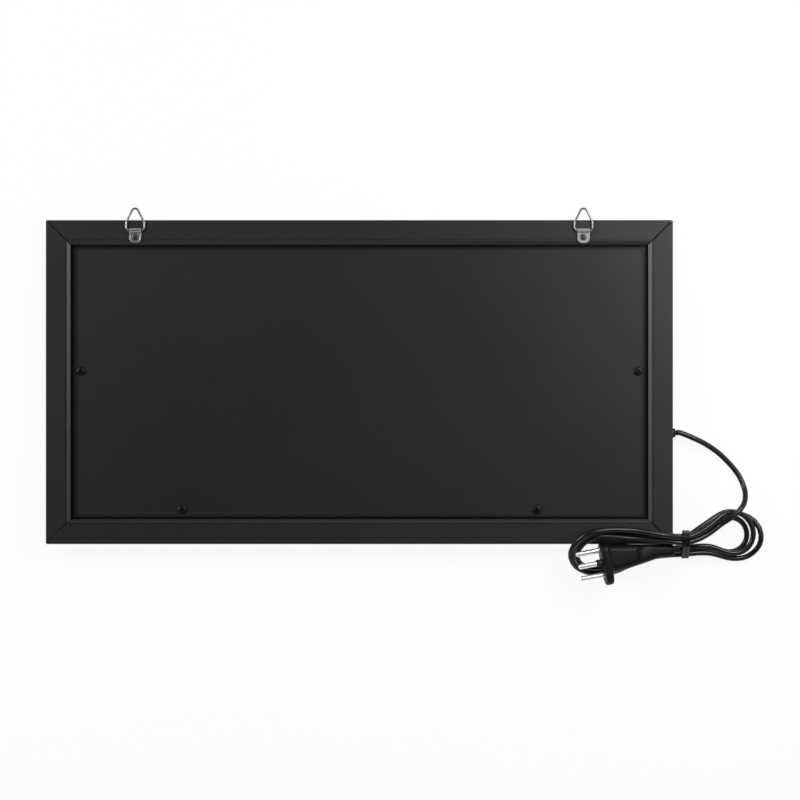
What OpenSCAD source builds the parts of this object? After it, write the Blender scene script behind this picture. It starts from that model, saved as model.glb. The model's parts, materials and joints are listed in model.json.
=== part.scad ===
// LED light sign lying face down, seen from its back: a mitred frame of four extruded rails,
// a recessed back panel, two swinging hanger rings, and a mains lead tied in a hank.
// Millimetres. X runs along the sign, Y towards its top edge, Z out of its back.

/* [Frame] */
// Overall width of the sign
sign_w = 480; // [420:1:600]
// Overall height of the sign, without the hanger rings
sign_h = 248; // [220:1:300]
// Depth of the frame, front lip to back face
sign_d = 20; // [19:0.5:26]
// Width of a rail seen from the back
rail_w = 18.8; // [17:0.2:22]
// Wall thickness of the rail extrusion
rail_wall = 1.5; // [1.2:0.1:1.8]
// Width of the lip round the front face
front_lip_w = 16; // [12:0.5:20]
// Width of the rib that holds the face panel against the lip
face_rib_w = 7; // [5:0.5:9]
// Width of the ledge that carries the back panel, past the rail's inner wall
ledge_w = 12; // [11:0.5:15]
// Width of the sloping bead along a rail's inner edge
bead_w = 2.8; // [2:0.1:3.5]
// Drop of the bead from the back face
bead_drop = 1.6; // [1:0.1:2]
// Width of the groove beside the bead
groove_w = 1; // [0.5:0.1:1.2]
// Depth of the groove beside the bead
groove_depth = 0.8; // [0.3:0.1:0.8]
// Chamfer on the rail's outer edges
edge_chamfer = 0.6; // [0.3:0.1:1]
// Gap between two mitred rail ends
mitre_gap = 0.4; // [0.1:0.1:0.6]
// Leg length of a corner key
key_leg = 42; // [30:1:60]
// Width of a corner key's legs
key_w = 9; // [7:0.5:10]

/* [Back panel] */
// Thickness of the back panel
panel_t = 3; // [2:0.5:3.5]
// Room between the face panel and the back panel
cavity_d = 9; // [8.8:0.1:11]
// Gap between the panel's edge and the rails at its sides and bottom
panel_gap = 1.6; // [0.5:0.1:3]
// How far the panel's top edge tucks into the top rail
panel_tuck = 3; // [1:0.5:5]
// Height of the two side screws above the sign's middle
side_screw_y = 8.5; // [-40:0.5:40]
// Distance of the two bottom screws from the sign's sides
bottom_screw_inset = 104; // [50:1:180]
// Distance of the panel screws from the rails' inner wall
screw_inset = 7.5; // [6.5:0.5:8]
// Diameter of the panel screws' shank
screw_d = 3; // [2.5:0.1:3.5]
// Diameter of the panel screws' head
screw_head_d = 6.6; // [5.5:0.1:8]
// Height of the panel screws' head
screw_head_h = 2; // [1.2:0.1:2.6]
// Length of the panel screws below the head
screw_len = 7; // [6:0.5:9]

/* [Face and lamps] */
// Thickness of the face panel
face_t = 2.5; // [2:0.1:3]
// Lamps along the top and bottom of the border
lamps_x = 21; // [15:1:26]
// Lamps along each side of the border, corners included
lamps_y = 11; // [8:1:13]
// Distance of the border lamps from the sign's outer edge
lamp_inset = 30; // [27:1:36]
// Lamps along the arrow's shaft
shaft_lamps = 11; // [7:1:13]
// Lamps along each of the arrow's barbs
barb_lamps = 4; // [3:1:5]
// Spacing of the lamps in the arrow
arrow_pitch = 16; // [12:1:18]
// Height of the arrow's middle line above the sign's middle
arrow_rise = 16; // [0:1:30]
// Diameter of a lamp's body
lamp_d = 4.8; // [4:0.1:5]
// Diameter of a lamp's flange
lamp_flange_d = 6; // [5.6:0.1:7]
// Thickness of a lamp's flange
lamp_flange_t = 1; // [0.6:0.1:1.4]
// How far a lamp stands out in front of the face panel
lamp_proud = 0.9; // [0.5:0.1:1.1]
// Radius of the lamp's domed end
lamp_dome_r = 4; // [3:0.1:6]
// Width of the strip boards that the lamps are soldered to
strip_w = 10; // [8:0.5:12]
// Thickness of the boards
board_t = 1.2; // [1:0.1:1.6]

/* [Driver] */
// Length of the driver board
driver_l = 84; // [78:1:110]
// Width of the driver board
driver_w = 40; // [36:1:50]
// Distance of the driver board's outer end from the sign's outer edge
driver_inset = 64; // [60:1:80]
// Height of the board's standoffs
standoff_h = 2; // [1.5:0.1:2.5]
// Diameter of the standoffs
standoff_d = 5; // [4.5:0.1:6]
// Diameter of the board screws
board_screw_d = 2; // [1.6:0.1:2.4]
// Diameter of the board screws' head
board_screw_head_d = 3.8; // [3.2:0.1:4.4]
// Height of the board screws' head
board_screw_head_h = 1.2; // [0.8:0.1:1.5]
// Distance of the board screws from the board's edges
board_screw_inset = 4; // [3.5:0.5:5]
// Room between the parts on the driver board and the back panel
driver_room = 1.8; // [1:0.1:2.5]
// Side of the square transformer core
core_l = 18; // [14:0.5:20]
// Diameter of the two capacitors
capacitor_d = 8; // [6:0.5:9]
// Length of a terminal block across the board
terminal_l = 12; // [10:0.5:14]
// Width of a terminal block along the board
terminal_w = 8; // [6:0.5:9]
// Diameter of a low voltage wire
wire_d = 1.6; // [1.2:0.1:1.8]
// How far the low voltage wires reach past the driver board
wire_reach = 26; // [20:1:40]
// Spacing of the low voltage wires where they land
wire_pitch = 6; // [4:0.5:10]
// Diameter of one of the mains lead's conductors
core_d = 0.9; // [0.7:0.1:1]
// Length of the conductors between the lead's sheath and the mains terminal
strip_back = 11; // [9:0.5:13]

/* [Hangers] */
// Distance of each hanger from the sign's side
hanger_inset = 68.5; // [55:0.5:140]
// Distance of the hanger's pivot below the top edge
hanger_pivot_inset = 8; // [7:0.5:10]
// Width of the hanger's strap
strap_w = 9.2; // [8:0.1:10]
// Length of the strap below the pivot
strap_l = 9.5; // [9:0.1:10.5]
// Thickness of the folded strap
strap_t = 1.2; // [1:0.1:1.5]
// Corner radius of the strap's end
strap_corner_r = 3.2; // [2.5:0.1:3.8]
// Height of the pressed rim round the strap
strap_rim_h = 0.6; // [0.3:0.1:0.8]
// Width of the pressed rim
strap_rim_w = 1; // [0.6:0.1:1.2]
// Wall of the loop that the ring turns in
eye_wall = 0.8; // [0.6:0.1:1]
// Diameter of the ring's wire
wire_ring_d = 1.6; // [1.4:0.1:2]
// Width of the ring over its wire
ring_w = 15.6; // [15:0.1:18]
// Height of the ring over its wire
ring_h = 18.4; // [17.5:0.1:22]
// How far the ring's bar runs on past the strap before it turns up
ring_bar_run = 0.9; // [0.7:0.1:1.5]
// Height of the ring's shoulders above its bar
ring_shoulder_h = 2; // [1.6:0.1:2.6]
// Height above the bar at which the ring's sides lean in
ring_side_h = 6.5; // [5:0.5:8]
// How far the sides have drawn in at that height
ring_side_draw = 0.2; // [0:0.1:0.5]
// Bend radius where the bar turns up and at the shoulders, to the middle of the wire
ring_corner_r = 1.3; // [1.1:0.1:1.5]
// Bend radius where the sides lean in
ring_side_r = 5; // [3:0.5:6]
// Bend radius at the ring's top
ring_top_r = 2.6; // [2.4:0.1:3]
// Distance of the hanger's screw below the pivot
hanger_screw_drop = 5; // [4.5:0.1:5.5]
// Diameter of the hanger screw's shank
hanger_screw_d = 2.6; // [2.2:0.1:3]
// Diameter of the hanger screw's head
hanger_screw_head_d = 5; // [4.2:0.1:5.4]
// Height of the hanger screw's head
hanger_screw_head_h = 1; // [0.8:0.1:1.6]
// Length of the hanger screw below its head
hanger_screw_len = 5; // [4.5:0.1:5.5]

/* [Lead] */
// Diameter of the mains lead
cord_d = 4.2; // [3.8:0.1:4.4]
// Height of the cord's exit above the sign's bottom edge
exit_up = 85; // [70:1:110]
// Diameter of the grommet's collar
grommet_d = 7; // [6.4:0.1:8]
// Length of the grommet's collar outside the rail
grommet_l = 2.4; // [1.5:0.1:3]
// Wall of the grommet's neck
grommet_wall = 0.6; // [0.5:0.1:0.8]
// Length of the cord clamp along the cord
clamp_l = 9; // [7:0.5:10]
// Width of the cord clamp
clamp_w = 22; // [20:0.5:26]
// Wall of the cord clamp above the cord
clamp_wall = 1.2; // [0.8:0.1:1.5]
// Width of the tie round the hank
tie_w = 5.6; // [4:0.2:7]
// Thickness of the tie
tie_t = 1; // [0.8:0.1:1.6]

/* [Plug] */
// Length of the plug from its tail to its pin face
plug_l = 57; // [54:1:60]
// Diameter of the plug's tail
tail_d = 8.6; // [7.5:0.1:8.8]
// Length of the round tail
tail_l = 12; // [10:1:14]
// Height of the grip beside the flange
grip_h = 23; // [20:0.5:24]
// Thickness of the grip beside the flange
grip_t = 13; // [11:0.5:13.5]
// Height of the flange
flange_h = 33; // [30:0.5:34]
// Thickness of the flange across
flange_w = 16; // [14:0.5:16]
// Length of the flange along the plug
flange_l = 6; // [5:0.5:8]
// Diameter of a pin
pin_d = 4; // [3.8:0.1:4.8]
// Length of a pin past the face
pin_l = 19; // [16:0.5:20]
// Spacing of the three pins
pin_pitch = 9.5; // [9:0.1:9.8]
// Shift of the pin row towards the flange's upper end
pin_shift = 1.5; // [0:0.1:3]
// How far the middle pin stands off the row's line
pin_offset = 2.5; // [0:0.1:3]
// Depth of the pins in the plug
pin_seat = 5; // [3:0.5:5]
// Diameter of the sleeve on the middle pin
sleeve_d = 5.6; // [5.2:0.1:6.2]
// Length of the sleeve
sleeve_l = 5; // [3:0.5:9]

/* [Clearances] */
// Side clearance of panels and keys in the rails
slide_clear = 0.2; // [0.1:0.05:0.4]
// Radial clearance of screws in their holes and of pins in their bores
hole_clear = 0.1; // [0.05:0.05:0.2]
// Clearance of loose things that lie on each other
lay_clear = 0.3; // [0.2:0.05:0.4]

/* [Hidden] */
$fn = 48;
eps = 0.01;

// Levels through the depth, from the front lip up
face_z = rail_wall;
face_back_z = face_z + face_t;
rib_z = face_back_z + slide_clear;
panel_z = face_back_z + cavity_d;
panel_top_z = panel_z + panel_t;
panel_recess = sign_d - panel_top_z;
ledge_z = panel_z - rail_wall;
strip_z = face_back_z + lamp_flange_t;
driver_z = face_back_z + standoff_h;
driver_top_z = driver_z + board_t;
driver_part_h = panel_z - driver_room - driver_top_z;

// Places across the rails
inner_u = rail_w;
ledge_u = rail_w + ledge_w;
screw_u = inner_u + screw_inset;
key_u = rail_wall + slide_clear;

// The ring reaches past the top edge, and the origin is the middle of the whole outline
eye_r = wire_ring_d / 2 + hole_clear + eye_wall;
pivot_z = sign_d + eye_r;
ring_reach = ring_h - wire_ring_d / 2 - hanger_pivot_inset;
sign_cy = -ring_reach / 2;
top_y = sign_cy + sign_h / 2;
bottom_y = sign_cy - sign_h / 2;
right_x = sign_w / 2;
hanger_x = right_x - hanger_inset;
bottom_screw_x = right_x - bottom_screw_inset;
pivot_y = top_y - hanger_pivot_inset;

// Cord levels
cord_r = cord_d / 2;
exit_y = bottom_y + exit_up;
exit_z = (rib_z + rail_wall + ledge_z) / 2;
neck_d = cord_d + 2 * (hole_clear + grommet_wall);

// Catmull-Rom curve through p1 and p2
function curve(p0, p1, p2, p3, t) =
  (2 * p1 + (p2 - p0) * t + (2 * p0 - 5 * p1 + 4 * p2 - p3) * t * t
  + (3 * p1 - p0 - 3 * p2 + p3) * t * t * t) / 2;

// Point i of a route, carried on in a straight line past its ends
function route_at(p, i) =
  i < 0 ? 2 * p[0] - p[1] :
  i >= len(p) ? 2 * p[len(p) - 1] - p[len(p) - 2] : p[i];

// A route with per points to each of its stretches
function smooth_route(p, per) = concat(
  [for (i = [0 : len(p) - 2], k = [0 : per - 1])
    curve(route_at(p, i - 1), p[i], p[i + 1], route_at(p, i + 2), k / per)],
  [p[len(p) - 1]]);

function unit(v) = v / norm(v);
function step_up(a, b, s) = let (u = max(0, min(1, (s - a) / (b - a)))) u * u * (3 - 2 * u);
function heading(p, i) = unit(p[min(i + 1, len(p) - 1)] - p[max(i - 1, 0)]);

// One round of points about point i of a route, square to its heading
function tube_ring(p, i, r, sides) =
  let (t = heading(p, i), across = unit(cross([0, 0, 1], t)), up = cross(t, across))
  [for (k = [0 : sides - 1]) p[i] + r * (cos(360 * k / sides) * across + sin(360 * k / sides) * up)];

// Closed tube swept along a route
module tube(p, r, sides) {
  n = len(p);
  points = [for (i = [0 : n - 1]) each tube_ring(p, i, r, sides)];
  wall_faces = [for (i = [0 : n - 2], k = [0 : sides - 1])
    let (a = i * sides + k, b = i * sides + (k + 1) % sides)
    each [[a, a + sides, b], [b, a + sides, b + sides]]];
  last = (n - 1) * sides;
  end_faces = [for (k = [1 : sides - 2]) each [[0, k, k + 1], [last, last + k + 1, last + k]]];
  polyhedron(points = points, faces = concat(wall_faces, end_faces));
}

// Frame

// Section of a rail: u runs in from the outer edge, z up from the front lip
module rail_section() {
  difference() {
    union() {
      square([rail_wall, sign_d]);
      square([front_lip_w, rail_wall]);
      translate([0, rib_z])
        square([face_rib_w, rail_wall]);
      translate([0, ledge_z])
        square([ledge_u, rail_wall]);
      translate([0, sign_d - rail_wall])
        square([inner_u, rail_wall]);
      translate([inner_u - rail_wall, panel_top_z + slide_clear])
        square([rail_wall, panel_recess - slide_clear]);
    }
    polygon([[-eps, sign_d - edge_chamfer], [-eps, sign_d + eps], [edge_chamfer, sign_d + eps]]);
    polygon([[-eps, edge_chamfer], [-eps, -eps], [edge_chamfer, -eps]]);
    translate([inner_u - bead_w - groove_w, sign_d - groove_depth])
      square([groove_w, groove_depth + eps]);
    polygon([[inner_u - bead_w, sign_d + eps], [inner_u + eps, sign_d + eps],
      [inner_u + eps, sign_d - bead_drop], [inner_u - bead_w, sign_d]]);
  }
}

// Rail along X with its outer edge at y = 0, its ends mitred inwards
module rail(length) {
  half = length / 2 - mitre_gap / sqrt(2);
  intersection() {
    translate([-length / 2, 0, 0])
      rotate([90, 0, 90])
        linear_extrude(length)
          rail_section();
    translate([0, 0, -1])
      linear_extrude(sign_d + 2)
        polygon([[-half - 1, -1], [half + 1, -1],
          [half - ledge_u - 1, ledge_u + 1], [-half + ledge_u + 1, ledge_u + 1]]);
  }
}

module on_bottom() { translate([0, bottom_y, 0]) children(); }
module on_top() { translate([0, top_y, 0]) rotate(180) children(); }
module on_right() { translate([right_x, sign_cy, 0]) rotate(90) children(); }
module on_left() { translate([-right_x, sign_cy, 0]) rotate(-90) children(); }

// Hole for a panel screw through the ledge, at x along the rail
module ledge_hole(x) {
  translate([x, screw_u, ledge_z - 1])
    cylinder(d = screw_d + 2 * hole_clear, h = rail_wall + 2);
}

module top_rail() {
  color("#26262a")
    difference() {
      on_top() rail(sign_w);
      for (x = [-hanger_x, hanger_x])
        translate([x, pivot_y - hanger_screw_drop, sign_d - 3 * rail_wall])
          cylinder(d = hanger_screw_d + 2 * hole_clear, h = 4 * rail_wall);
    }
}

module bottom_rail() {
  color("#26262a")
    on_bottom()
      difference() {
        rail(sign_w);
        for (x = [-bottom_screw_x, bottom_screw_x]) ledge_hole(x);
      }
}

module left_rail() {
  color("#26262a")
    on_left()
      difference() {
        rail(sign_h);
        ledge_hole(-side_screw_y);
      }
}

module right_rail() {
  color("#26262a")
    difference() {
      on_right()
        difference() {
          rail(sign_h);
          ledge_hole(side_screw_y);
        }
      translate([right_x - rail_wall - 1, exit_y, exit_z])
        rotate([0, 90, 0])
          cylinder(d = neck_d + 2 * hole_clear, h = rail_wall + 2);
    }
}

// L-shaped key that joins two rails inside their back chamber
module corner_key() {
  key_h = sign_d - rail_wall - panel_z - slide_clear;
  translate([key_u, key_u, panel_z])
    difference() {
      cube([key_leg, key_leg, key_h]);
      translate([key_w, key_w, -1])
        cube([key_leg, key_leg, key_h + 2]);
    }
}

module corner_keys() {
  color("#b9bcc0")
    for (mx = [0, 1], my = [0, 1])
      translate([0, sign_cy, 0])
        mirror([mx, 0, 0])
          mirror([0, my, 0])
            translate([-right_x, -sign_h / 2, 0])
              corner_key();
}

// Face and lamps

// Places of the lamps: a border row and a plain arrow
lamp_span_x = sign_w - 2 * lamp_inset;
lamp_span_y = sign_h - 2 * lamp_inset;
border_lamps = concat(
  [for (i = [0 : lamps_x - 1], s = [-1, 1])
    [lamp_span_x * (i / (lamps_x - 1) - 0.5), sign_cy + s * lamp_span_y / 2]],
  [for (i = [1 : lamps_y - 2], s = [-1, 1])
    [s * lamp_span_x / 2, sign_cy + lamp_span_y * (i / (lamps_y - 1) - 0.5)]]);
arrow_y = sign_cy + arrow_rise;
arrow_tip_x = (shaft_lamps - 1) * arrow_pitch / 2;
barb_step = arrow_pitch / sqrt(2);
arrow_lamps = concat(
  [for (i = [0 : shaft_lamps - 1]) [arrow_tip_x - i * arrow_pitch, arrow_y]],
  [for (i = [1 : barb_lamps], s = [-1, 1])
    [arrow_tip_x - i * barb_step, arrow_y + s * i * barb_step]]);
lamp_places = concat(border_lamps, arrow_lamps);

module face_panel() {
  edge = rail_wall + slide_clear;
  color("#141416")
    difference() {
      translate([-right_x + edge, bottom_y + edge, face_z])
        cube([sign_w - 2 * edge, sign_h - 2 * edge, face_t]);
      for (p = lamp_places)
        translate([p[0], p[1], face_z - 1])
          cylinder(d = lamp_d + 2 * hole_clear, h = face_t + 2);
    }
}

// Lamp pointing down, its flange's back at z = 0
module lamp() {
  tip = lamp_flange_t + face_t + lamp_proud;
  rotate([180, 0, 0])
    rotate_extrude() {
      square([lamp_flange_d / 2, lamp_flange_t]);
      intersection() {
        square([lamp_d / 2, tip]);
        translate([0, tip - lamp_dome_r])
          circle(r = lamp_dome_r);
      }
    }
}

module led_lamps() {
  color("#d9d4c8")
    for (p = lamp_places)
      translate([p[0], p[1], strip_z])
        lamp();
}

// Strip board from one lamp to another, its ends half a strip past them
module strip(from, to) {
  run = to - from;
  translate([from[0], from[1], strip_z])
    rotate(atan2(run[1], run[0]))
      translate([-strip_w / 2, -strip_w / 2, 0])
        cube([norm(run) + strip_w, strip_w, board_t]);
}

module led_strips() {
  x = lamp_span_x / 2;
  y = lamp_span_y / 2;
  side_y = y - strip_w / 2 - slide_clear - strip_w / 2;
  barb = barb_lamps * barb_step;
  shaft_x = arrow_tip_x;
  color("#2f6b45") {
    for (s = [-1, 1]) {
      strip([-x, sign_cy + s * y], [x, sign_cy + s * y]);
      strip([s * x, sign_cy - side_y], [s * x, sign_cy + side_y]);
    }
    difference() {
      union()
        for (s = [-1, 1])
          strip([shaft_x, arrow_y], [shaft_x - barb, arrow_y + s * barb]);
      translate([0, arrow_y - strip_w / 2 - slide_clear, strip_z - 1])
        cube([shaft_x - strip_w, strip_w + 2 * slide_clear, board_t + 2]);
    }
    difference() {
      strip([shaft_x - (shaft_lamps - 1) * arrow_pitch, arrow_y], [shaft_x - arrow_pitch, arrow_y]);
      for (s = [-1, 1])
        translate([shaft_x, arrow_y, strip_z - 1])
          rotate(180 - s * 45)
            translate([-strip_w / 2 - slide_clear, -strip_w / 2 - slide_clear, 0])
              cube([barb * 2, strip_w + 2 * slide_clear, board_t + 2]);
    }
  }
}

// Driver

driver_x1 = right_x - driver_inset;
driver_x0 = driver_x1 - driver_l;
driver_y = exit_y;
mains_ways = 3;
driver_screw_places = [for (x = [driver_x0 + board_screw_inset, driver_x1 - board_screw_inset],
  s = [-1, 1]) [x, driver_y + s * (driver_w / 2 - board_screw_inset)]];

module driver_standoffs() {
  color("#c8c8c4")
    for (p = driver_screw_places)
      translate([p[0], p[1], face_back_z])
        difference() {
          cylinder(d = standoff_d, h = standoff_h);
          translate([0, 0, -1])
            cylinder(d = board_screw_d + 2 * hole_clear, h = standoff_h + 2);
        }
}

module driver_board() {
  color("#2f6b45")
    difference() {
      translate([driver_x0, driver_y - driver_w / 2, driver_z])
        cube([driver_l, driver_w, board_t]);
      for (p = driver_screw_places)
        translate([p[0], p[1], driver_z - 1])
          cylinder(d = board_screw_d + 2 * hole_clear, h = board_t + 2);
    }
}

module driver_screws() {
  color("#8f9296")
    for (p = driver_screw_places)
      translate([p[0], p[1], driver_top_z]) {
        cylinder(d = board_screw_head_d, h = board_screw_head_h);
        translate([0, 0, -board_t - standoff_h])
          cylinder(d = board_screw_d, h = board_t + standoff_h + eps);
      }
}

module driver_transformer() {
  core_wall = core_l / 5;
  color("#4a3b2a")
    translate([(driver_x0 + driver_x1) / 2, driver_y, driver_top_z])
      difference() {
        translate([-core_l / 2, -core_l / 2, 0])
          cube([core_l, core_l, driver_part_h]);
        for (s = [-1, 1])
          translate([s * core_l / 4 - core_wall / 2, -core_l / 2 - 1, driver_part_h * 0.7])
            cube([core_wall, core_l + 2, driver_part_h]);
      }
}

module driver_capacitors() {
  color("#1d2b4a")
    for (s = [-1, 1])
      translate([(driver_x0 + driver_x1) / 2 + s * (core_l / 2 + capacitor_d), driver_y, driver_top_z])
        cylinder(d = capacitor_d, h = driver_part_h);
}

// Places of a terminal block's ways across the board
function way_y(i, ways) = terminal_l * ((i + 0.5) / ways - 0.5);

// Terminal block with a screw well for each of its ways
module terminal(turn, ways) {
  well_d = 2.6;
  color("#2a6f9e")
    rotate(turn)
      difference() {
        translate([-terminal_w, -terminal_l / 2, 0])
          cube([terminal_w, terminal_l, driver_part_h]);
        for (i = [0 : ways - 1])
          translate([-terminal_w / 2, way_y(i, ways), driver_part_h - 1])
            cylinder(d = well_d, h = 2);
      }
}

module mains_terminal() {
  translate([driver_x1, driver_y, driver_top_z]) terminal(0, mains_ways);
}

module lamp_terminal() {
  translate([driver_x0, driver_y, driver_top_z]) terminal(180, 2);
}

// Two low voltage wires from the lamp terminal to the edge of the bottom strip
module lamp_wires() {
  start_z = driver_top_z + driver_part_h / 2;
  land_z = strip_z + board_t / 2;
  land_y = sign_cy - lamp_span_y / 2 + strip_w / 2;
  straight = 2 * wire_d;
  color("#a02828")
    for (i = [0, 1]) {
      y = driver_y + way_y(i, 2);
      x = driver_x0 - wire_reach - wire_pitch * i;
      bend = wire_reach / 2 + wire_pitch * i;
      tube(concat([[driver_x0, y, start_z]],
        smooth_route([[driver_x0 - straight, y, start_z],
          [driver_x0 - bend, y - wire_reach / 6, (start_z + land_z) / 2],
          [x, y - bend, land_z], [x, land_y + straight, land_z]], 4),
        [[x, land_y, land_z]]), wire_d / 2, 8);
    }
}

// Three conductors fanning out from the end of the cord's sheath to the mains terminal
module mains_wires() {
  ways = mains_ways;
  straight = 1.2 * wire_d;
  bundle_r = cord_r / 2;
  color("#7a4a2a")
    for (i = [0 : ways - 1]) {
      y = driver_y + way_y(i, ways);
      y_sheath = driver_y + (i - (ways - 1) / 2) * bundle_r;
      tube(concat([[driver_x1, y, exit_z]],
        smooth_route([[driver_x1 + straight, y, exit_z],
          [driver_x1 + strip_back - straight, y_sheath, exit_z]], 4),
        [[driver_x1 + strip_back, y_sheath, exit_z]]), core_d / 2, 8);
    }
}

// Hangers

hanger_sides = [-1, 1];

// Outline of the strap below its pivot, drawn in by an inset
module strap_outline(inset) {
  w = strap_w - 2 * inset;
  r = strap_corner_r - inset;
  foot = inset - strap_l;
  translate([-w / 2, foot + r])
    square([w, -foot - r]);
  translate([r - w / 2, foot])
    square([w - 2 * r, r + eps]);
  for (side = hanger_sides)
    translate([side * (w / 2 - r), foot + r])
      circle(r = r);
}

// Strap folded round the ring's bar: pivot at the origin, back face of the rail below it
module hanger_strap() {
  base = -eye_r;
  color("#c9cbce")
    difference() {
      union() {
        rotate([0, 90, 0])
          translate([0, 0, -strap_w / 2])
            cylinder(r = eye_r, h = strap_w);
        translate([0, 0, base])
          linear_extrude(strap_t)
            strap_outline(0);
        translate([0, 0, base])
          linear_extrude(strap_t + strap_rim_h)
            difference() {
              strap_outline(0);
              strap_outline(strap_rim_w);
            }
      }
      rotate([0, 90, 0])
        translate([0, 0, -strap_w])
          cylinder(d = wire_ring_d + 2 * hole_clear, h = 2 * strap_w);
      translate([0, -hanger_screw_drop, base - 1])
        cylinder(d = hanger_screw_d + 2 * hole_clear, h = strap_t + 2);
    }
}

// How far the ring's arcs run into its straights, and how much thinner their wire is
arc_lap = 0.1;
arc_thin = 0.04;

// Arc of the ring's wire about a centre in its plane, a hair thinner than the straights that
// its ends run into
module wire_arc(centre, r, from, sweep) {
  lap = arc_lap / r * 180 / PI;
  translate([centre[0], centre[1], 0])
    rotate(from - lap)
      rotate_extrude(angle = sweep + 2 * lap)
        translate([r, 0])
          circle(d = wire_ring_d - arc_thin);
}

// Straight of the ring's wire between two points in its plane
module wire_straight(from, to) {
  run = to - from;
  translate([from[0], from[1], 0])
    rotate(atan2(run[1], run[0]))
      rotate([0, 90, 0])
        cylinder(d = wire_ring_d, h = norm(run));
}

// Turn of the wire at b, on the way from a to c, and the run that its bend takes up there
function turn_at(a, b, c) = acos(unit(b - a) * unit(c - b));
function bend_run(a, b, c, r) = r * tan(turn_at(a, b, c) / 2);

// Ring lying along +Y, its bar on the X axis
module hanger_ring() {
  shoulder = ring_w / 2 - wire_ring_d / 2;
  crown = [0, ring_h - wire_ring_d - ring_top_r];
  lean = [shoulder - ring_side_draw, ring_side_h];
  reach = crown - lean;
  // Slope of the side's upper part, tangent to the crown's arc
  side_a = atan2(reach[1], reach[0]) - asin(ring_top_r / norm(reach));
  way = [[0, 0], [strap_w / 2 + ring_bar_run, 0], [shoulder, ring_shoulder_h], lean,
    crown + ring_top_r * [sin(side_a), -cos(side_a)]];
  bends = [0, ring_corner_r, ring_corner_r, ring_side_r, 0];
  last = len(way) - 1;
  runs = [for (i = [0 : last])
    bends[i] == 0 ? 0 : bend_run(way[i - 1], way[i], way[i + 1], bends[i])];
  color("#c9cbce") {
    wire_straight([runs[1] - way[1][0], 0], [way[1][0] - runs[1], 0]);
    for (m = [0, 1])
      mirror([m, 0, 0])
        for (i = [1 : last - 1]) {
          before = unit(way[i] - way[i - 1]);
          after = unit(way[i + 1] - way[i]);
          start = way[i] - runs[i] * before;
          wire_arc(start + bends[i] * [-before[1], before[0]], bends[i],
            atan2(before[1], before[0]) - 90, turn_at(way[i - 1], way[i], way[i + 1]));
          wire_straight(way[i] + runs[i] * after, way[i + 1] - runs[i + 1] * after);
        }
    wire_arc(crown, ring_top_r, side_a - 90, 360 - 2 * side_a);
  }
}

module at_hanger(side) {
  translate([side * hanger_x, pivot_y, pivot_z]) children();
}

module hanger_strap_left() { at_hanger(-1) hanger_strap(); }
module hanger_strap_right() { at_hanger(1) hanger_strap(); }
module hanger_ring_left() { at_hanger(-1) hanger_ring(); }
module hanger_ring_right() { at_hanger(1) hanger_ring(); }

// Pan head screw with a cross recess, the underside of its head at z = 0
module cross_screw(shank_d, length, head_d, head_h) {
  cross_l = head_d * 0.55;
  cross_w = head_d * 0.14;
  difference() {
    cylinder(d = head_d, h = head_h);
    for (a = [0, 90])
      rotate(a)
        translate([-cross_l / 2, -cross_w / 2, head_h / 2])
          cube([cross_l, cross_w, head_h]);
  }
  translate([0, 0, -length])
    cylinder(d = shank_d, h = length + eps);
}

module hanger_screws() {
  color("#c9cbce")
    for (side = hanger_sides)
      translate([side * hanger_x, pivot_y - hanger_screw_drop, sign_d + strap_t])
        cross_screw(hanger_screw_d, hanger_screw_len, hanger_screw_head_d, hanger_screw_head_h);
}

// Back panel

panel_screw_places = [
  [-right_x + screw_u, sign_cy + side_screw_y],
  [right_x - screw_u, sign_cy + side_screw_y],
  [-bottom_screw_x, bottom_y + screw_u],
  [bottom_screw_x, bottom_y + screw_u]];

module back_panel() {
  edge = inner_u + panel_gap;
  top_edge = inner_u - panel_tuck;
  color("#2a292c")
    difference() {
      translate([-right_x + edge, bottom_y + edge, panel_z])
        cube([sign_w - 2 * edge, sign_h - edge - top_edge, panel_t]);
      for (x = [-1, 1])
        translate([x * right_x, top_y - inner_u, panel_z - 1])
          translate([-edge - panel_tuck, 0, 0])
            cube([2 * (edge + panel_tuck), inner_u, panel_t + 2]);
      for (p = panel_screw_places)
        translate([p[0], p[1], panel_z - 1])
          cylinder(d = screw_d + 2 * hole_clear, h = panel_t + 2);
    }
}

module panel_screws() {
  color("#161618")
    for (p = panel_screw_places)
      translate([p[0], p[1], panel_top_z])
        cross_screw(screw_d, screw_len, screw_head_d, screw_head_h);
}

// Lead, hank and plug, laid out from the frame's lower right corner

corner_at = [right_x, bottom_y, 0];
exit_at = [right_x + grommet_l, exit_y, exit_z];

// The lead between the exit and the hank
lead_points = [[17, 80.8, 7.6], [26, 76.4, 5.8], [35.5, 70, 3.8], [44, 62, 2.5], [51, 53.5, 2.3],
  [55.2, 44.8, 3.7], [56.5, 37.5, 7.2], [54.9, 30.6, 12.5], [50.6, 25, 15.9], [44.7, 20.1, 16.8]];

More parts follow.
